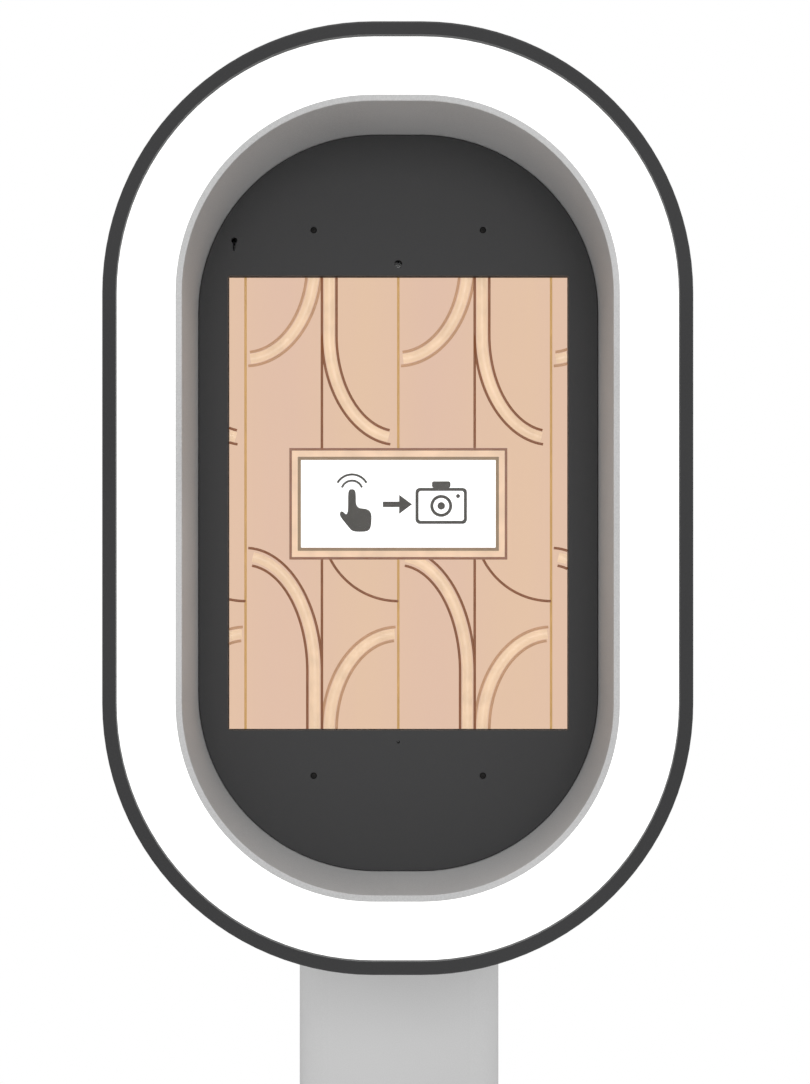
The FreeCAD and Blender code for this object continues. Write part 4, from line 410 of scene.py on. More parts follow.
# %% finish for each CAD piece
finishes = {
    satin_black: ["front_bezel", "rear_shell"],
    ring_light: ["light_diffuser"],
    inner_white: ["light_tray"],
    tape_white: ["led_strip"],
    zinc: ["ring_spacers", "cradle_plate", "chassis_posts", "magnet_posts", "keeper_discs"],
    zinc_screw: ["frame_screws", "rear_shell_screws", "foot_screws", "column_head_screws"],
    reveal_grey: ["reveal_ring"],
    plate_black: ["faceplate"],
    black_screw: ["faceplate_screws", "rear_panel_screws", "bracket_bolts"],
    nickel: ["magnets"],
    blasted_aluminium: ["tablet_body", "tablet_power_button", "tablet_volume_key"],
    cover_glass: ["tablet_glass"],
    lens_black: ["tablet_camera"],
    black_moulding: ["tablet_cup", "tablet_clips", "rocker_frame", "height_collar", "mast_plug",
                     "dimmer_pot"],
    panel_black: ["rear_panel"],
    drawn_aluminium: ["led_driver"],
    board_green: ["control_board"],
    white_moulding: ["usb_supply", "charge_plug"],
    white_jacket: ["charge_lead", "signal_leads"],
    black_jacket: ["mains_leads"],
    rocker_black: ["power_inlet", "power_rocker"],
    grip_black: ["dimmer_knob", "tilt_knob", "height_knob"],
    plain_steel: ["dimmer_shaft", "tilt_bolt"],
    bracket_black: ["head_bracket"],
    washer_fibre: ["tilt_washers"],
    column_grey: ["column_head", "upper_column", "lower_column", "column_foot"],
    bush_plastic: ["top_bush", "bottom_bush", "height_pad"],
    cylinder_black: ["gas_spring_body"],
    ground_rod: ["gas_spring_rod"],
    base_grey: ["base_plate"],
    foot_rubber: ["rubber_feet"],
}
for finish, names in finishes.items():
    for name in names:
        for place in frame["nodes"][name].material_slots:
            place.material = finish
left = sorted(set(frame["nodes"]) - {n for names in finishes.values() for n in names})
print("pieces without a finish yet:", left)

# %% [markdown]
# ## Small builders
# Details are made flat and square first, then put in their place inside the mesh itself, so each object
# stays at the origin. A slab is a closed prism from an outline on the head's face, and a frame is a slab
# with a hole.

# %% slabs and frames
def finished(name, work, finish, body):
    """Turns worked faces into a piece that rides on a body."""
    bmesh.ops.remove_doubles(work, verts=work.verts, dist=1e-6)
    bmesh.ops.recalc_face_normals(work, faces=work.faces)
    mesh = bpy.data.meshes.new(name)
    work.to_mesh(mesh)
    work.free()
    return placed_piece(name, mesh, finish, body)


def placed_piece(name, mesh, finish, body):
    """An object at the origin for a mesh that is already in its place."""
    piece = bpy.data.objects.new(name, mesh)
    mesh.materials.clear()
    mesh.materials.append(finish)
    scene.collection.objects.link(piece)
    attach(piece, body)
    print("piece", name, len(mesh.polygons), "faces")
    return piece


def slab(work, outline, near, far, hole=None):
    """Closed prism of an outline of (across, up) points, from depth near to far; hole has as many points."""
    rings = [outline] if hole is None else [outline, hole]
    levels = [[[work.verts.new((x, y, z)) for x, z in ring] for ring in rings] for y in (near, far)]
    count = len(outline)
    for ring in range(len(rings)):
        for n in range(count):
            m = (n + 1) % count
            work.faces.new([levels[0][ring][n], levels[0][ring][m], levels[1][ring][m], levels[1][ring][n]])
    for level in levels:
        if hole is None:
            work.faces.new(level[0])
            continue
        for n in range(count):
            m = (n + 1) % count
            work.faces.new([level[0][n], level[0][m], level[1][m], level[1][n]])


def box_outline(across, up, half_wide, half_tall, corner=0.0, steps=6):
    """Rectangle with round corners, as (across, up) points."""
    points = []
    for n, (sx, sz) in enumerate(((1, 1), (-1, 1), (-1, -1), (1, -1))):
        for k in range(steps + 1):
            turn = math.radians(90 * (n + k / steps))
            points.append((across + sx * (half_wide - corner) + corner * math.cos(turn),
                           up + sz * (half_tall - corner) + corner * math.sin(turn)))
    return points


def disc_outline(across, up, radius, steps=48):
    """Circle as (across, up) points."""
    turns = [2 * math.pi * n / steps for n in range(steps)]
    return [(across + radius * math.cos(turn), up + radius * math.sin(turn)) for turn in turns]


print("builders ready")

# %% [markdown]
# ## Geometry Nodes
# What repeats or follows a line is a recipe of nodes with named sizes, so one number changes all of it. Each
# recipe ends by turning its copies into real faces and giving them their finish; the result is then kept as
# a plain mesh, and the recipe is taken off.

# %% helpers for recipes
def new_recipe(name, inputs):
    """A recipe with named inputs: returns its tree, the inputs' node and the sockets by name."""
    tree = bpy.data.node_groups.new(name, "GeometryNodeTree")
    tree.interface.new_socket(name="Geometry", in_out="OUTPUT", socket_type="NodeSocketGeometry")
    sockets = {"Geometry": tree.interface.new_socket(name="Geometry", in_out="INPUT",
                                                     socket_type="NodeSocketGeometry")}
    for label, kind in inputs.items():
        sockets[label] = tree.interface.new_socket(name=label, in_out="INPUT",
                                                   socket_type="NodeSocket" + kind)
    return tree, tree.nodes.new("NodeGroupInput"), sockets


def close_recipe(tree, geometry, finish):
    """Ends a recipe in real faces with a finish."""
    real = add(tree, "GeometryNodeRealizeInstances", Geometry=geometry)
    coated = add(tree, "GeometryNodeSetMaterial", Geometry=real.outputs["Geometry"], Material=finish)
    tree.links.new(coated.outputs["Geometry"], tree.nodes.new("NodeGroupOutput").inputs["Geometry"])


def cook(name, tree, sockets, values, body, start=None):
    """Runs a recipe once and keeps its result as a plain piece."""
    holder = bpy.data.objects.new(name + "_recipe", start or bpy.data.meshes.new(name + "_start"))
    scene.collection.objects.link(holder)
    recipe = holder.modifiers.new("recipe", "NODES")
    recipe.node_group = tree
    for label, value in values.items():
        recipe[sockets[label].identifier] = value
    shown = holder.evaluated_get(bpy.context.evaluated_depsgraph_get())
    mesh = bpy.data.meshes.new_from_object(shown)
    mesh.name = name
    holder.modifiers.remove(recipe)
    bpy.data.objects.remove(holder)
    return placed_piece(name, mesh, mesh.materials[0], body)


print("recipes can be made")

# %% [markdown]
# ## The picture on the screen
# While the booth waits, its screen shows a warm plain ground with fine gold uprights and drawn arches, and a
# white label in the middle. The ground is the lit display itself. The lines could be painted in the shader,
# but thin lines stay sharper as geometry, so they are flat ribbons that lie on the display under the glass.

# %% the display's warm ground
screen_low, screen_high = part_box("tablet_display")
SCREEN_FACE = screen_low.y
SCREEN_HALF_WIDE = (screen_high.x - screen_low.x) / 2
SCREEN_HALF_TALL = (screen_high.z - screen_low.z) / 2


def warm_ground(name, colour, warmer, cooler, pitch, strength):
    """The ground of the screen: broad upright bands, warmer on one side of a drawn line, cooler beyond."""
    finish, tree, shader = new_finish(name)
    spot = add(tree, "ShaderNodeTexCoord").outputs["Object"]
    across = add(tree, "ShaderNodeSeparateXYZ", Vector=spot).outputs["X"]
    turn = add(tree, "ShaderNodeMath", {"operation": "MULTIPLY"})
    join(tree, across, turn.inputs[0])
    turn.inputs[1].default_value = 2 * math.pi / pitch
    band = add(tree, "ShaderNodeMath", {"operation": "SINE"})
    join(tree, turn.outputs[0], band.inputs[0])
    streak = grain(tree, place_on(tree, (1, 1, 0.06)), 14 * MM, 2.0)
    base = mixed(tree, between(tree, band.outputs[0], 0, 1, -1, 1), warmer, cooler)
    light = mixed(tree, between(tree, streak, 0, 0.6), base, colour)
    join(tree, light, shader.inputs["Emission Color"])
    shader.inputs["Emission Strength"].default_value = strength
    shader.inputs["Base Color"].default_value = (0.02, 0.02, 0.02, 1)
    shader.inputs["Roughness"].default_value = 0.3
    return finish


GLOW = 1.0
COLUMN_PITCH = 89 * MM
ground = warm_ground("warm_screen", (0.733, 0.508, 0.377), (0.745, 0.522, 0.369), (0.722, 0.498, 0.384),
                     COLUMN_PITCH, GLOW)
for place in frame["nodes"]["tablet_display"].material_slots:
    place.material = ground
print("screen", round(2 * SCREEN_HALF_WIDE, 4), "x", round(2 * SCREEN_HALF_TALL, 4))

# %% recipe: ribbons along drawn lines
def ink_recipe(finish):
    """Sweeps a flat strip along lines drawn in the plane, then stands them on the screen."""
    tree, given, sockets = new_recipe("ink", {
        "Line Width": "Float", "Thickness": "Float", "Place": "Vector"})
    lines = add(tree, "GeometryNodeMeshToCurve", Mesh=given.outputs["Geometry"])
    upright = add(tree, "GeometryNodeSetCurveNormal", Curve=lines.outputs["Curve"])
    upright.mode = "Z_UP"
    section = add(tree, "GeometryNodeCurvePrimitiveQuadrilateral", Width=given.outputs["Line Width"],
                  Height=given.outputs["Thickness"])
    swept = add(tree, "GeometryNodeCurveToMesh", Curve=upright.outputs["Curve"],
                Profile_Curve=section.outputs["Curve"], Fill_Caps=True)
    stood = add(tree, "GeometryNodeTransform", Geometry=swept.outputs["Mesh"],
                Rotation=(math.radians(90), 0, 0), Translation=given.outputs["Place"])
    close_recipe(tree, stood.outputs["Geometry"], finish)
    return tree, sockets


def kept_on_screen(points):
    """The parts of a drawn line that lie on the screen, cut exactly at its edges."""
    wide, tall = SCREEN_HALF_WIDE, SCREEN_HALF_TALL
    runs, run = [], []
    for a, b in zip(points, points[1:]):
        low, high = 0.0, 1.0
        for p, d, limit in ((a[0], b[0] - a[0], wide), (a[1], b[1] - a[1], tall)):
            if abs(d) < 1e-12:
                if abs(p) > limit:
                    low, high = 1.0, 0.0
                continue
            first, last = sorted(((-limit - p) / d, (limit - p) / d))
            low, high = max(low, first), min(high, last)
        if low >= high:
            run = []
            continue
        start = (a[0] + (b[0] - a[0]) * low, a[1] + (b[1] - a[1]) * low)
        stop = (a[0] + (b[0] - a[0]) * high, a[1] + (b[1] - a[1]) * high)
        if not run or low > 0:
            run = [start]
            runs.append(run)
        run.append(stop)
        if high < 1:
            run = []
    return runs


def quarter(centre, half_wide, half_tall, start, stop, steps=28):
    """Part of an ellipse between two angles, in degrees."""
    return [(centre[0] + half_wide * math.cos(math.radians(start + (stop - start) * n / steps)),
             centre[1] + half_tall * math.sin(math.radians(start + (stop - start) * n / steps)))
            for n in range(steps + 1)]


def drawn(name, lines, width, finish, layer):
    """One piece of ink: every line of a colour."""
    mesh = bpy.data.meshes.new(name + "_lines")
    verts, edges = [], []
    for line in lines:
        for run in kept_on_screen(line):
            edges += [(len(verts) + n, len(verts) + n + 1) for n in range(len(run) - 1)]
            verts += [(x, z, 0) for x, z in run]
    mesh.from_pydata(verts, edges, [])
    tree, sockets = ink_recipe(finish)
    place = (0.0, SCREEN_FACE - layer, HEAD_MIDDLE)
    values = {"Line Width": width, "Thickness": 0.02 * MM, "Place": place}
    return cook(name, tree, sockets, values, "head", mesh)


# %% arches and uprights
def ink(name, colour):
    """Lit ink: another colour that the screen shows."""
    return glowing(name, colour, tint(colour, 0.86), 9 * MM, GLOW, 0.3)


gold_ink = ink("gold_ink", (0.5, 0.29, 0.1))
brown_ink = ink("brown_ink", (0.2, 0.072, 0.028))
tan_ink = ink("tan_ink", (0.44, 0.245, 0.14))
cream_ink = ink("cream_ink", (0.775, 0.56, 0.385))
REACH, STEP = COLUMN_PITCH / 2, 8.5 * MM
HIGH_ARCH, LOW_ARCH, MIDDLE_ARCH = 98 * MM, -98 * MM, -12 * MM
HIGH_HANGING, LOW_STANDING = 140 * MM, -132 * MM
edge = SCREEN_HALF_TALL
half_step = REACH - STEP / 2
uprights = [[(n * COLUMN_PITCH, -edge), (n * COLUMN_PITCH, edge)] for n in (-1, 0, 1)]
posts = [(n + 0.5) * COLUMN_PITCH for n in (-2, -1, 0, 1)]
brown_lines, tan_lines, cream_lines = [], [], []
for post in posts:
    brown_lines.append([(post, edge), (post, -edge)])
    right, lefts = post + REACH, post - REACH
    brown_lines.append([(post + STEP, edge)] + quarter((right, HIGH_ARCH), REACH - STEP, 56 * MM, 180, 262))
    brown_lines.append(quarter((right, HIGH_ARCH), REACH, 64 * MM, 180, 264))
    brown_lines.append([(post - STEP, -edge)] + quarter((lefts, LOW_ARCH), REACH - STEP, 62 * MM, 0, 84))
    brown_lines.append(quarter((lefts, LOW_ARCH), REACH, 72 * MM, 0, 88))
    brown_lines.append(quarter((right, MIDDLE_ARCH), REACH, 45 * MM, 200, 270))
    tan_lines.append(quarter((lefts, HIGH_HANGING), REACH, 60 * MM, 0, -88))
    tan_lines.append(quarter((lefts, HIGH_HANGING), REACH - STEP, 52 * MM, 0, -86))
    tan_lines.append(quarter((right, LOW_STANDING), REACH, 60 * MM, 180, 92))
    tan_lines.append(quarter((right, LOW_STANDING), REACH - STEP, 52 * MM, 180, 94))
    cream_lines.append([(post + STEP / 2, edge)] + quarter((right, HIGH_ARCH), half_step, 60 * MM, 180, 262))
    cream_lines.append([(post - STEP / 2, -edge)] + quarter((lefts, LOW_ARCH), half_step, 67 * MM, 0, 84))
    cream_lines.append(quarter((lefts, HIGH_HANGING), half_step, 56 * MM, 0, -86))
    cream_lines.append(quarter((right, LOW_STANDING), half_step, 56 * MM, 180, 93))
drawn("screen_arch_bands", cream_lines, 5.6 * MM, cream_ink, 0.012 * MM)
drawn("screen_uprights", uprights, 1.4 * MM, gold_ink, 0.04 * MM)
drawn("screen_arches_pale", tan_lines, 1.6 * MM, tan_ink, 0.06 * MM)
drawn("screen_arches", brown_lines, 1.5 * MM, brown_ink, 0.09 * MM)

# %% [markdown]
# ## The label on the screen
# A white label in a double frame stands over the arches. On the real screen it tells people to touch; here
# three plain signs say the same without words: a finger that taps, an arrow, and a camera.

# %% label and its double frame
label_white = glowing("label_white", (1.0, 1.0, 1.0), (0.97, 0.97, 0.96), 20 * MM, GLOW * 1.05, 0.3)
sign_ink = ink("sign_ink", (0.012, 0.008, 0.002))
LABEL_UP = -0.3 * MM
LABEL_WIDE, LABEL_TALL = 63.5 * MM, 32.5 * MM       # half sizes of the whole label


def on_screen(name, shapes, finish, near, far):
    """Slabs that lie on the screen between two layers, each an outline and perhaps a hole."""
    work = bmesh.new()
    for outline, hole in shapes:
        outline = [(x, z + HEAD_MIDDLE) for x, z in outline]
        hole = None if hole is None else [(x, z + HEAD_MIDDLE) for x, z in hole]
        slab(work, outline, SCREEN_FACE - far, SCREEN_FACE - near, hole)
    return finished(name, work, finish, "head")


def label_frame(half_wide, half_tall, width):
    """A square frame, outside size given."""
    return (box_outline(0, LABEL_UP, half_wide, half_tall, 0.2 * MM, 1),
            box_outline(0, LABEL_UP, half_wide - width, half_tall - width, 0.2 * MM, 1))


on_screen("label_ground", [(box_outline(0, LABEL_UP, LABEL_WIDE, LABEL_TALL, 0.2 * MM, 1), None)],
          ink("label_peach", (0.72, 0.5, 0.34)), 0.11 * MM, 0.13 * MM)
outer_frame = label_frame(LABEL_WIDE, LABEL_TALL, 1.5 * MM)
on_screen("label_outer_frame", [outer_frame], brown_ink, 0.14 * MM, 0.16 * MM)
on_screen("label_inner_frame", [label_frame(58.6 * MM, 27.4 * MM, 1.9 * MM)],
          ink("bronze_ink", (0.22, 0.14, 0.07)), 0.14 * MM, 0.16 * MM)
on_screen("label_face", [(box_outline(0, LABEL_UP, 56.7 * MM, 25.5 * MM, 0.2 * MM, 1), None)],
          label_white, 0.14 * MM, 0.16 * MM)

# %% three signs: tap, arrow, camera
def arc_band(across, up, radius, width, start, stop, steps=16):
    """A curved bar between two angles, in degrees."""
    outside = quarter((across, up), radius + width / 2, radius + width / 2, start, stop, steps)
    inside = quarter((across, up), radius - width / 2, radius - width / 2, stop, start, steps)
    return outside + inside


def softened(points, times=3):
    """Cuts the corners of a closed outline, again and again."""
    for _ in range(times):
        points = [(a[0] * (1 - s) + b[0] * s, a[1] * (1 - s) + b[1] * s)
                  for a, b in zip(points, points[1:] + points[:1]) for s in (0.22, 0.78)]
    return points


hand_x, cam_x = -27 * MM, 25 * MM
hand = [(2.3, -2.6), (9.6, -3.4), (11.6, -6.6), (11.0, -14.6), (8.6, -16.6), (0.4, -16.6), (-2.4, -13.4),
        (-7.6, -6.8), (-6.2, -4.0), (-2.3, -7.6), (-2.3, 6.4), (-1.2, 8.2), (1.2, 8.2), (2.3, 6.4)]
signs = [
    (softened([(hand_x + x * MM, z * MM) for x, z in hand]), None),
    (arc_band(hand_x, 7.0 * MM, 6.2 * MM, 1.3 * MM, 20, 160), None),
    (arc_band(hand_x, 7.0 * MM, 9.8 * MM, 1.3 * MM, 30, 150), None),
    ([(-9 * MM, 1.0 * MM), (0.5 * MM, 1.0 * MM), (0.5 * MM, 5 * MM), (8 * MM, -0.6 * MM),
      (0.5 * MM, -6.2 * MM), (0.5 * MM, -2.2 * MM), (-9 * MM, -2.2 * MM)], None),
    (box_outline(cam_x, -1.5 * MM, 15 * MM, 10.5 * MM, 2.6 * MM),
     box_outline(cam_x, -1.5 * MM, 13.2 * MM, 8.7 * MM, 1.4 * MM)),
    (box_outline(cam_x, 10.9 * MM, 5.4 * MM, 1.9 * MM, 1.2 * MM), None),
    (disc_outline(cam_x, -1.5 * MM, 6.4 * MM), disc_outline(cam_x, -1.5 * MM, 4.6 * MM)),
    (disc_outline(cam_x, -1.5 * MM, 2.2 * MM, 24), None),
    (disc_outline(cam_x + 9.8 * MM, 4.2 * MM, 1.2 * MM, 16), None),
]
on_screen("label_signs", signs, sign_ink, 0.18 * MM, 0.20 * MM)

# %% [markdown]
# ## The dark border of the screen
# Behind the glass a tablet is printed black up to the picture's edge. It is a thin frame just under the
# glass, seen when the faceplate is off and through the camera's hole.

# %% printed border
glass_low, glass_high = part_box("tablet_glass")
glass_half_wide = (glass_high.x - glass_low.x) / 2
glass_half_tall = (glass_high.z - glass_low.z) / 2
border = moulded_plastic("printed_black", (0.012, 0.012, 0.013), 0.3 * MM, 0.3)
glass_edge = box_outline(0, 0, glass_half_wide - 0.4 * MM, glass_half_tall - 0.4 * MM, 8 * MM, 8)
screen_edge = box_outline(0, 0, SCREEN_HALF_WIDE, SCREEN_HALF_TALL, 0.1 * MM, 8)
on_screen("glass_border", [(glass_edge, screen_edge)], border, 0.02 * MM, 0.05 * MM)

# %% [markdown]
# ## Light chips
# The light tape has one chip every eight millimetres or so, all round the oval. A recipe walks the oval and
# sets a chip at each step, turned along the tape. The oval is the head's outline, set in by the same amount
# as the tape's middle.

# %% recipe: things along the oval
def oval_recipe(finish):
    """Copies of a shape at even steps along an oval, facing forward."""
    tree, given, sockets = new_recipe("along_oval", {
        "Oval Width": "Float", "Oval Height": "Float", "Corner": "Float", "Count": "Int",
        "Shape": "Object", "Place": "Vector"})
    square = add(tree, "GeometryNodeCurvePrimitiveQuadrilateral", Width=given.outputs["Oval Width"],
                 Height=given.outputs["Oval Height"])
    round_ends = add(tree, "GeometryNodeFilletCurve", Curve=square.outputs["Curve"],
                     Radius=given.outputs["Corner"])
    round_ends.mode = "POLY"
    round_ends.inputs["Count"].default_value = 24
    steps = add(tree, "GeometryNodeCurveToPoints", Curve=round_ends.outputs["Curve"],
                Count=given.outputs["Count"])
    along = add(tree, "FunctionNodeAlignRotationToVector", {"axis": "X", "pivot_axis": "Z"},
                Vector=steps.outputs["Tangent"])
    shape = add(tree, "GeometryNodeObjectInfo", Object=given.outputs["Shape"])
    copies = add(tree, "GeometryNodeInstanceOnPoints", Points=steps.outputs["Points"],
                 Instance=shape.outputs["Geometry"], Rotation=along.outputs["Rotation"])
    stood = add(tree, "GeometryNodeTransform", Geometry=copies.outputs["Instances"],
                Rotation=(math.radians(90), 0, 0), Translation=given.outputs["Place"])
    close_recipe(tree, stood.outputs["Geometry"], finish)
    return tree, sockets


def block(name, wide, deep, tall, round_by=0.0):
    """A small block with softened edges, standing on its origin, used only as a shape to copy."""
    work = bmesh.new()
    bmesh.ops.create_cube(work, size=1.0)
    bmesh.ops.scale(work, vec=(wide, deep, tall), verts=work.verts)
    bmesh.ops.translate(work, vec=(0, 0, tall / 2), verts=work.verts)
    if round_by:
        bmesh.ops.bevel(work, geom=work.edges[:], offset=round_by, segments=1, affect="EDGES")
    mesh = bpy.data.meshes.new(name)
    work.to_mesh(mesh)
    work.free()
    shape = bpy.data.objects.new(name, mesh)
    scene.collection.objects.link(shape)
    return shape


# %% chips on the light tape
tape_low, tape_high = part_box("led_strip")
TAPE_HALF = 5 * MM
tape_out = (HEAD_WIDE - (tape_high.x - tape_low.x)) / 2 + TAPE_HALF
oval = {"Oval Width": HEAD_WIDE - 2 * tape_out, "Oval Height": HEAD_TALL - 2 * tape_out,
        "Corner": HEAD_CORNER - tape_out, "Count": 157}
chip_white = moulded_plastic("chip_white", (0.85, 0.84, 0.8), 0.2 * MM, 0.3)
phosphor = glowing("phosphor", (1.0, 0.86, 0.45), (1.0, 0.8, 0.35), 1 * MM, 1.0)
for name, finish, size, lift in (("light_chips", chip_white, (3.5, 2.8, 0.7), 0.0),
                                 ("light_chip_phosphor", phosphor, (2.6, 2.1, 0.12), 0.7)):
    shape = block(name + "_shape", *(v * MM for v in size), 0.12 * MM if lift == 0 else 0.0)
    tree, sockets = oval_recipe(finish)
    place = (0.0, tape_low.y - lift * MM, HEAD_MIDDLE)
    cook(name, tree, sockets, {**oval, "Shape": shape, "Place": place}, "head")
    bpy.data.objects.remove(shape)

# %% [markdown]
# ## Clamping knobs
# The two clamping knobs are moulded with six lobes for the fingers. Their outline is one rule: a circle
# whose radius swells and shrinks six times round. The knob is built of rings of points, from the blind bore
# for the stud, over the hub and the rounded edges, to a shallow dish at the front. The lobes fade out
# towards the hub.

# %% star knob from rings
LOBES, LOBE_DEPTH = 6, 0.2
KNOB_RADIUS, KNOB_LENGTH = 22 * MM, 18 * MM


def star_knob(node, way, radius, length, bore, bore_depth):
    """Six-lobed knob that ends where the CAD knob ends; way points from its seat to its front."""
    low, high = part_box(node)
    way = Vector(way)
    middle = (low + high) / 2
    reach = max(way.dot(low), way.dot(high))
    seat = middle + way * (reach - way.dot(middle) - length)
    work, steps = bmesh.new(), 96
    ring_list = [(bore, bore_depth, 0), (bore, 0.0, 0), (0.62 * radius, 0.0, 0),
                 (0.64 * radius, 0.05 * length, 0.1), (0.93 * radius, 0.16 * length, 1),
                 (0.975 * radius, 0.2 * length, 1),
                 (radius, 0.3 * length, 1), (radius, 0.78 * length, 1), (0.985 * radius, 0.87 * length, 1),
                 (0.94 * radius, 0.95 * length, 1), (0.86 * radius, 0.99 * length, 0.95),
                 (0.78 * radius, length, 0.8), (0.5 * radius, 0.985 * length, 0.2),
                 (0.46 * radius, 0.93 * length, 0), (0.2 * radius, 0.92 * length, 0)]
    turn_to = way.to_track_quat("Z", "Y").to_matrix()
    rings = []
    for wide, up, lobed in ring_list:
        ring = []
        for n in range(steps):
            angle = 2 * math.pi * n / steps
            swell = 0.5 - 0.5 * math.cos(LOBES * angle)
            r = wide * (1 - lobed * LOBE_DEPTH * (1 - swell ** 0.8))
            spot = Vector((r * math.cos(angle), r * math.sin(angle), up))
            ring.append(work.verts.new(seat + turn_to @ spot))
        rings.append(ring)
    for first, second in zip(rings, rings[1:]):
        for n in range(steps):
            m = (n + 1) % steps
            work.faces.new([first[n], first[m], second[m], second[n]])
    for ring, up in ((rings[0], bore_depth), (rings[-1], 0.92 * length)):
        centre = work.verts.new(seat + way * up)
        for n in range(steps):
            work.faces.new([centre, ring[n], ring[(n + 1) % steps]])
    for face in work.faces:
        face.smooth = True
    return work, seat


tilt_work, _ = star_knob("tilt_knob", (1, 0, 0), KNOB_RADIUS, KNOB_LENGTH, 5.1 * MM, 11 * MM)
tilt_star = finished("tilt_star", tilt_work, grip_black, "tilt_lock")
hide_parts("tilt_knob")
lock_work, lock_seat = star_knob("height_knob", (0, 1, 0), KNOB_RADIUS, KNOB_LENGTH, 4.0 * MM, 6 * MM)
height_star = finished("height_star", lock_work, grip_black, "height_lock")
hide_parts("height_knob")

# %% [markdown]
# ## The height knob's stud
# The clamping stud is threaded where it runs in the collar. A thread is a groove that climbs evenly: rings
# of points go up in small steps while their radius rises and falls once per turn, shifted a little at each
# step.

# %% threaded stud
TURN_LEVELS = 8         # rings of points in one turn of the thread


def stud(name, start, stop, radius, pitch, finish, body):
    """A threaded stud along +Y between two points."""
    work, steps = bmesh.new(), 24
    length = stop.y - start.y
    levels = int(length / pitch * TURN_LEVELS)
    rings = []
    for k in range(levels + 1):
        y = start.y + length * k / levels
        ends = min(1.0, min(k, levels - k) / TURN_LEVELS)
        ring = []
        for n in range(steps):
            angle = 2 * math.pi * n / steps
            wave = 0.5 - 0.5 * math.cos(2 * math.pi * (k / TURN_LEVELS - n / steps))
            r = radius * (1 - 0.1 * wave) - 0.5 * MM * (1 - ends)
            ring.append(work.verts.new((start.x + r * math.cos(angle), y, start.z + r * math.sin(angle))))
        rings.append(ring)
    for first, second in zip(rings, rings[1:]):
        for n in range(steps):
            m = (n + 1) % steps
            work.faces.new([first[n], first[m], second[m], second[n]])
    work.faces.new(rings[0])
    work.faces.new(list(reversed(rings[-1])))
    return finished(name, work, finish, body)


stud_start = Vector((lock_seat.x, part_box("height_knob")[0].y, lock_seat.z))
stud_stop = Vector((lock_seat.x, lock_seat.y + 5.8 * MM, lock_seat.z))
stud("height_stud", stud_start, stud_stop, 4 * MM, 1.25 * MM, plain_steel, "height_lock")

# %% [markdown]
# ## Marks at the controls
# The brightness knob needs a scale and the switch its two signs. A scale of ticks that grow clockwise is
# read without words. A recipe sets them along an arc and stretches each by its number. The switch has the
# usual bar for on and ring for off, printed on its two slopes.

# %% recipe: ticks that grow along an arc
def tick_recipe(finish):
    """Ticks round a knob, each longer than the last."""
    tree, given, sockets = new_recipe("ticks", {
        "Radius": "Float", "Count": "Int", "Tick Width": "Float", "Longest": "Float", "Thickness": "Float",
        "Place": "Vector"})
    arc = add(tree, "GeometryNodeCurveArc", Radius=given.outputs["Radius"],
              Resolution=given.outputs["Count"], Start_Angle=math.radians(-45),
              Sweep_Angle=math.radians(270))
    points = add(tree, "GeometryNodeCurveToPoints", {"mode": "EVALUATED"}, Curve=arc.outputs["Curve"])
    outward = add(tree, "GeometryNodeInputPosition").outputs["Position"]
    turned = add(tree, "FunctionNodeAlignRotationToVector", {"axis": "Y", "pivot_axis": "Z"}, Vector=outward)
    number = add(tree, "GeometryNodeInputIndex").outputs["Index"]
    share = add(tree, "ShaderNodeMapRange", Value=number)
    join(tree, given.outputs["Count"], share.inputs["From Max"])
    share.inputs["To Min"].default_value = 0.3
    size = add(tree, "ShaderNodeCombineXYZ", Y=share.outputs["Result"])
    size.inputs["X"].default_value = 1.0
    size.inputs["Z"].default_value = 1.0
    tick_size = add(tree, "ShaderNodeCombineXYZ", X=given.outputs["Tick Width"], Y=given.outputs["Longest"],
                    Z=given.outputs["Thickness"])
    tick = add(tree, "GeometryNodeMeshCube", Size=tick_size.outputs["Vector"])
    copies = add(tree, "GeometryNodeInstanceOnPoints", Points=points.outputs["Points"],
                 Instance=tick.outputs["Mesh"], Rotation=turned.outputs["Rotation"],
                 Scale=size.outputs["Vector"])
    stood = add(tree, "GeometryNodeTransform", Geometry=copies.outputs["Instances"],
                Rotation=(math.radians(90), 0, 0), Translation=given.outputs["Place"])
    close_recipe(tree, stood.outputs["Geometry"], finish)
    return tree, sockets


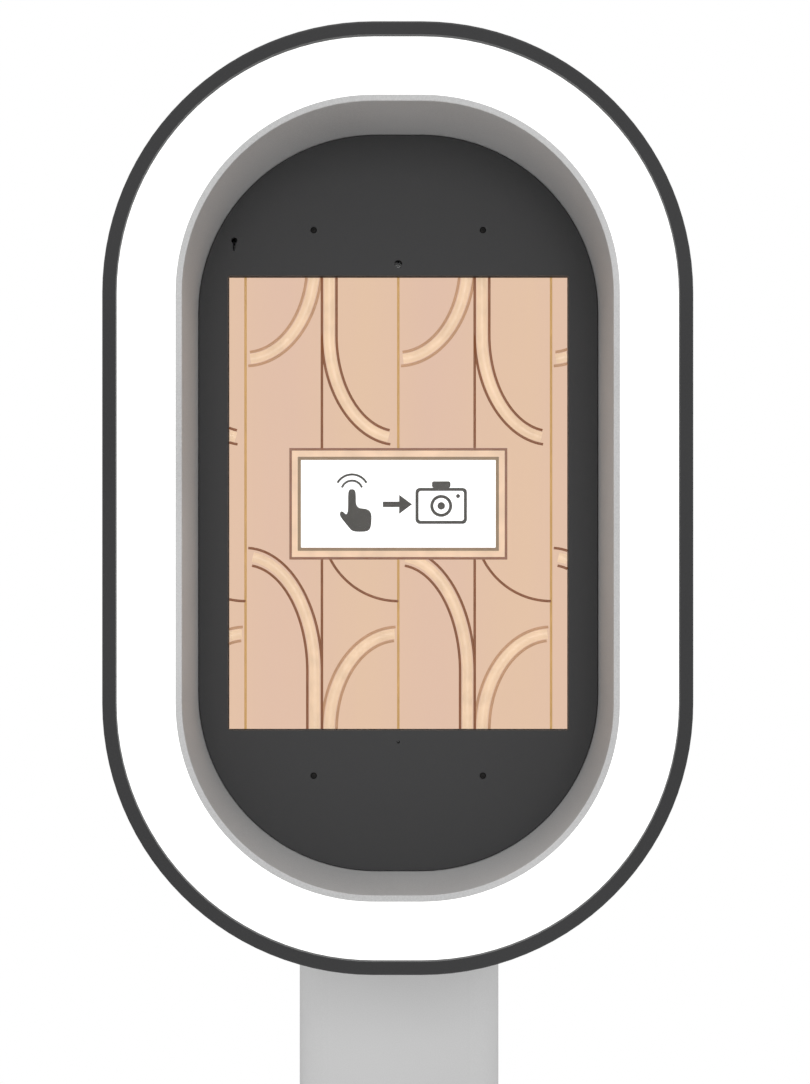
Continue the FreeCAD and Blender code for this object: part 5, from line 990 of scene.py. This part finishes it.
# %% scale round the brightness knob
print_white = moulded_plastic("print_white", (0.75, 0.75, 0.74), 0.2 * MM, 0.5)
knob_low, knob_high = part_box("dimmer_knob")
PANEL_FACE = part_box("rear_panel")[1].y
tree, sockets = tick_recipe(print_white)
knob_x, knob_z = (knob_low.x + knob_high.x) / 2, (knob_low.z + knob_high.z) / 2
cook("brightness_scale", tree, sockets, {
    "Radius": 17 * MM, "Count": 13, "Tick Width": 0.9 * MM, "Longest": 4.6 * MM, "Thickness": 0.12 * MM,
    "Place": (knob_x, PANEL_FACE, knob_z)}, "head")
pointer_work = bmesh.new()
slab(pointer_work, box_outline(knob_x, knob_z + 7.2 * MM, 0.6 * MM, 3.2 * MM, 0.5 * MM, 3),
     knob_high.y - 0.1 * MM, knob_high.y + 0.08 * MM)
finished("brightness_pointer", pointer_work, print_white, "dimmer")

# %% on and off signs
VALLEY_DEPTH, SIGN_OUT = 4.45 * MM, 4.4 * MM       # valley from the pivot, and signs from the valley
switch = [joint for joint in frame["joints"] if joint["child"] == "rocker"][0]
pivot = Vector(switch["pos_m"])
rocker_low, rocker_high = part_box("power_rocker")
pivot.x = (rocker_low.x + rocker_high.x) / 2
half_turn = math.radians(abs(switch["range_deg"][0] - switch["range_deg"][1])) / 2
valley = pivot + Matrix.Rotation(half_turn, 3, "X") @ Vector((0, VALLEY_DEPTH, 0))


def on_slope(name, outlines, along, slope):
    """Thin signs on one slope of the rocker: along is how far from the valley, slope is its lean."""
    work = bmesh.new()
    for outline, hole in outlines:
        slab(work, outline, -0.15 * MM, 0.05 * MM, hole)
    lean = Matrix.Rotation(slope, 4, "X")
    spot = valley + (lean.to_3x3() @ Vector((0, 0, along)))
    bmesh.ops.transform(work, matrix=Matrix.Translation(spot) @ lean, verts=work.verts)
    return finished(name, work, print_white, "rocker")


on_slope("sign_on", [(box_outline(0, 0, 0.35 * MM, 1.9 * MM, 0.3 * MM, 3), None)], SIGN_OUT, 0.0)
off_ring = (disc_outline(0, 0, 2.0 * MM, 32), disc_outline(0, 0, 1.35 * MM, 32))
on_slope("sign_off", [off_ring], -SIGN_OUT, 2 * half_turn)
print("rocker pivot", [round(v, 4) for v in pivot])

# %% [markdown]
# The floor is a plain pale disc, wide enough for soft contact shadows.

# %% floor
FLOOR_RADIUS = 1.95
floor_work = bmesh.new()
bmesh.ops.create_circle(floor_work, cap_ends=True, radius=FLOOR_RADIUS, segments=96)
floor_mesh = bpy.data.meshes.new("floor")
floor_work.to_mesh(floor_mesh)
floor_work.free()
floor = bpy.data.objects.new("floor", floor_mesh)
floor_mesh.materials.append(powder_coat("pale_floor", (0.8, 0.8, 0.8), 2 * MM, 0.85, 0.2, 0.004))
scene.collection.objects.link(floor)
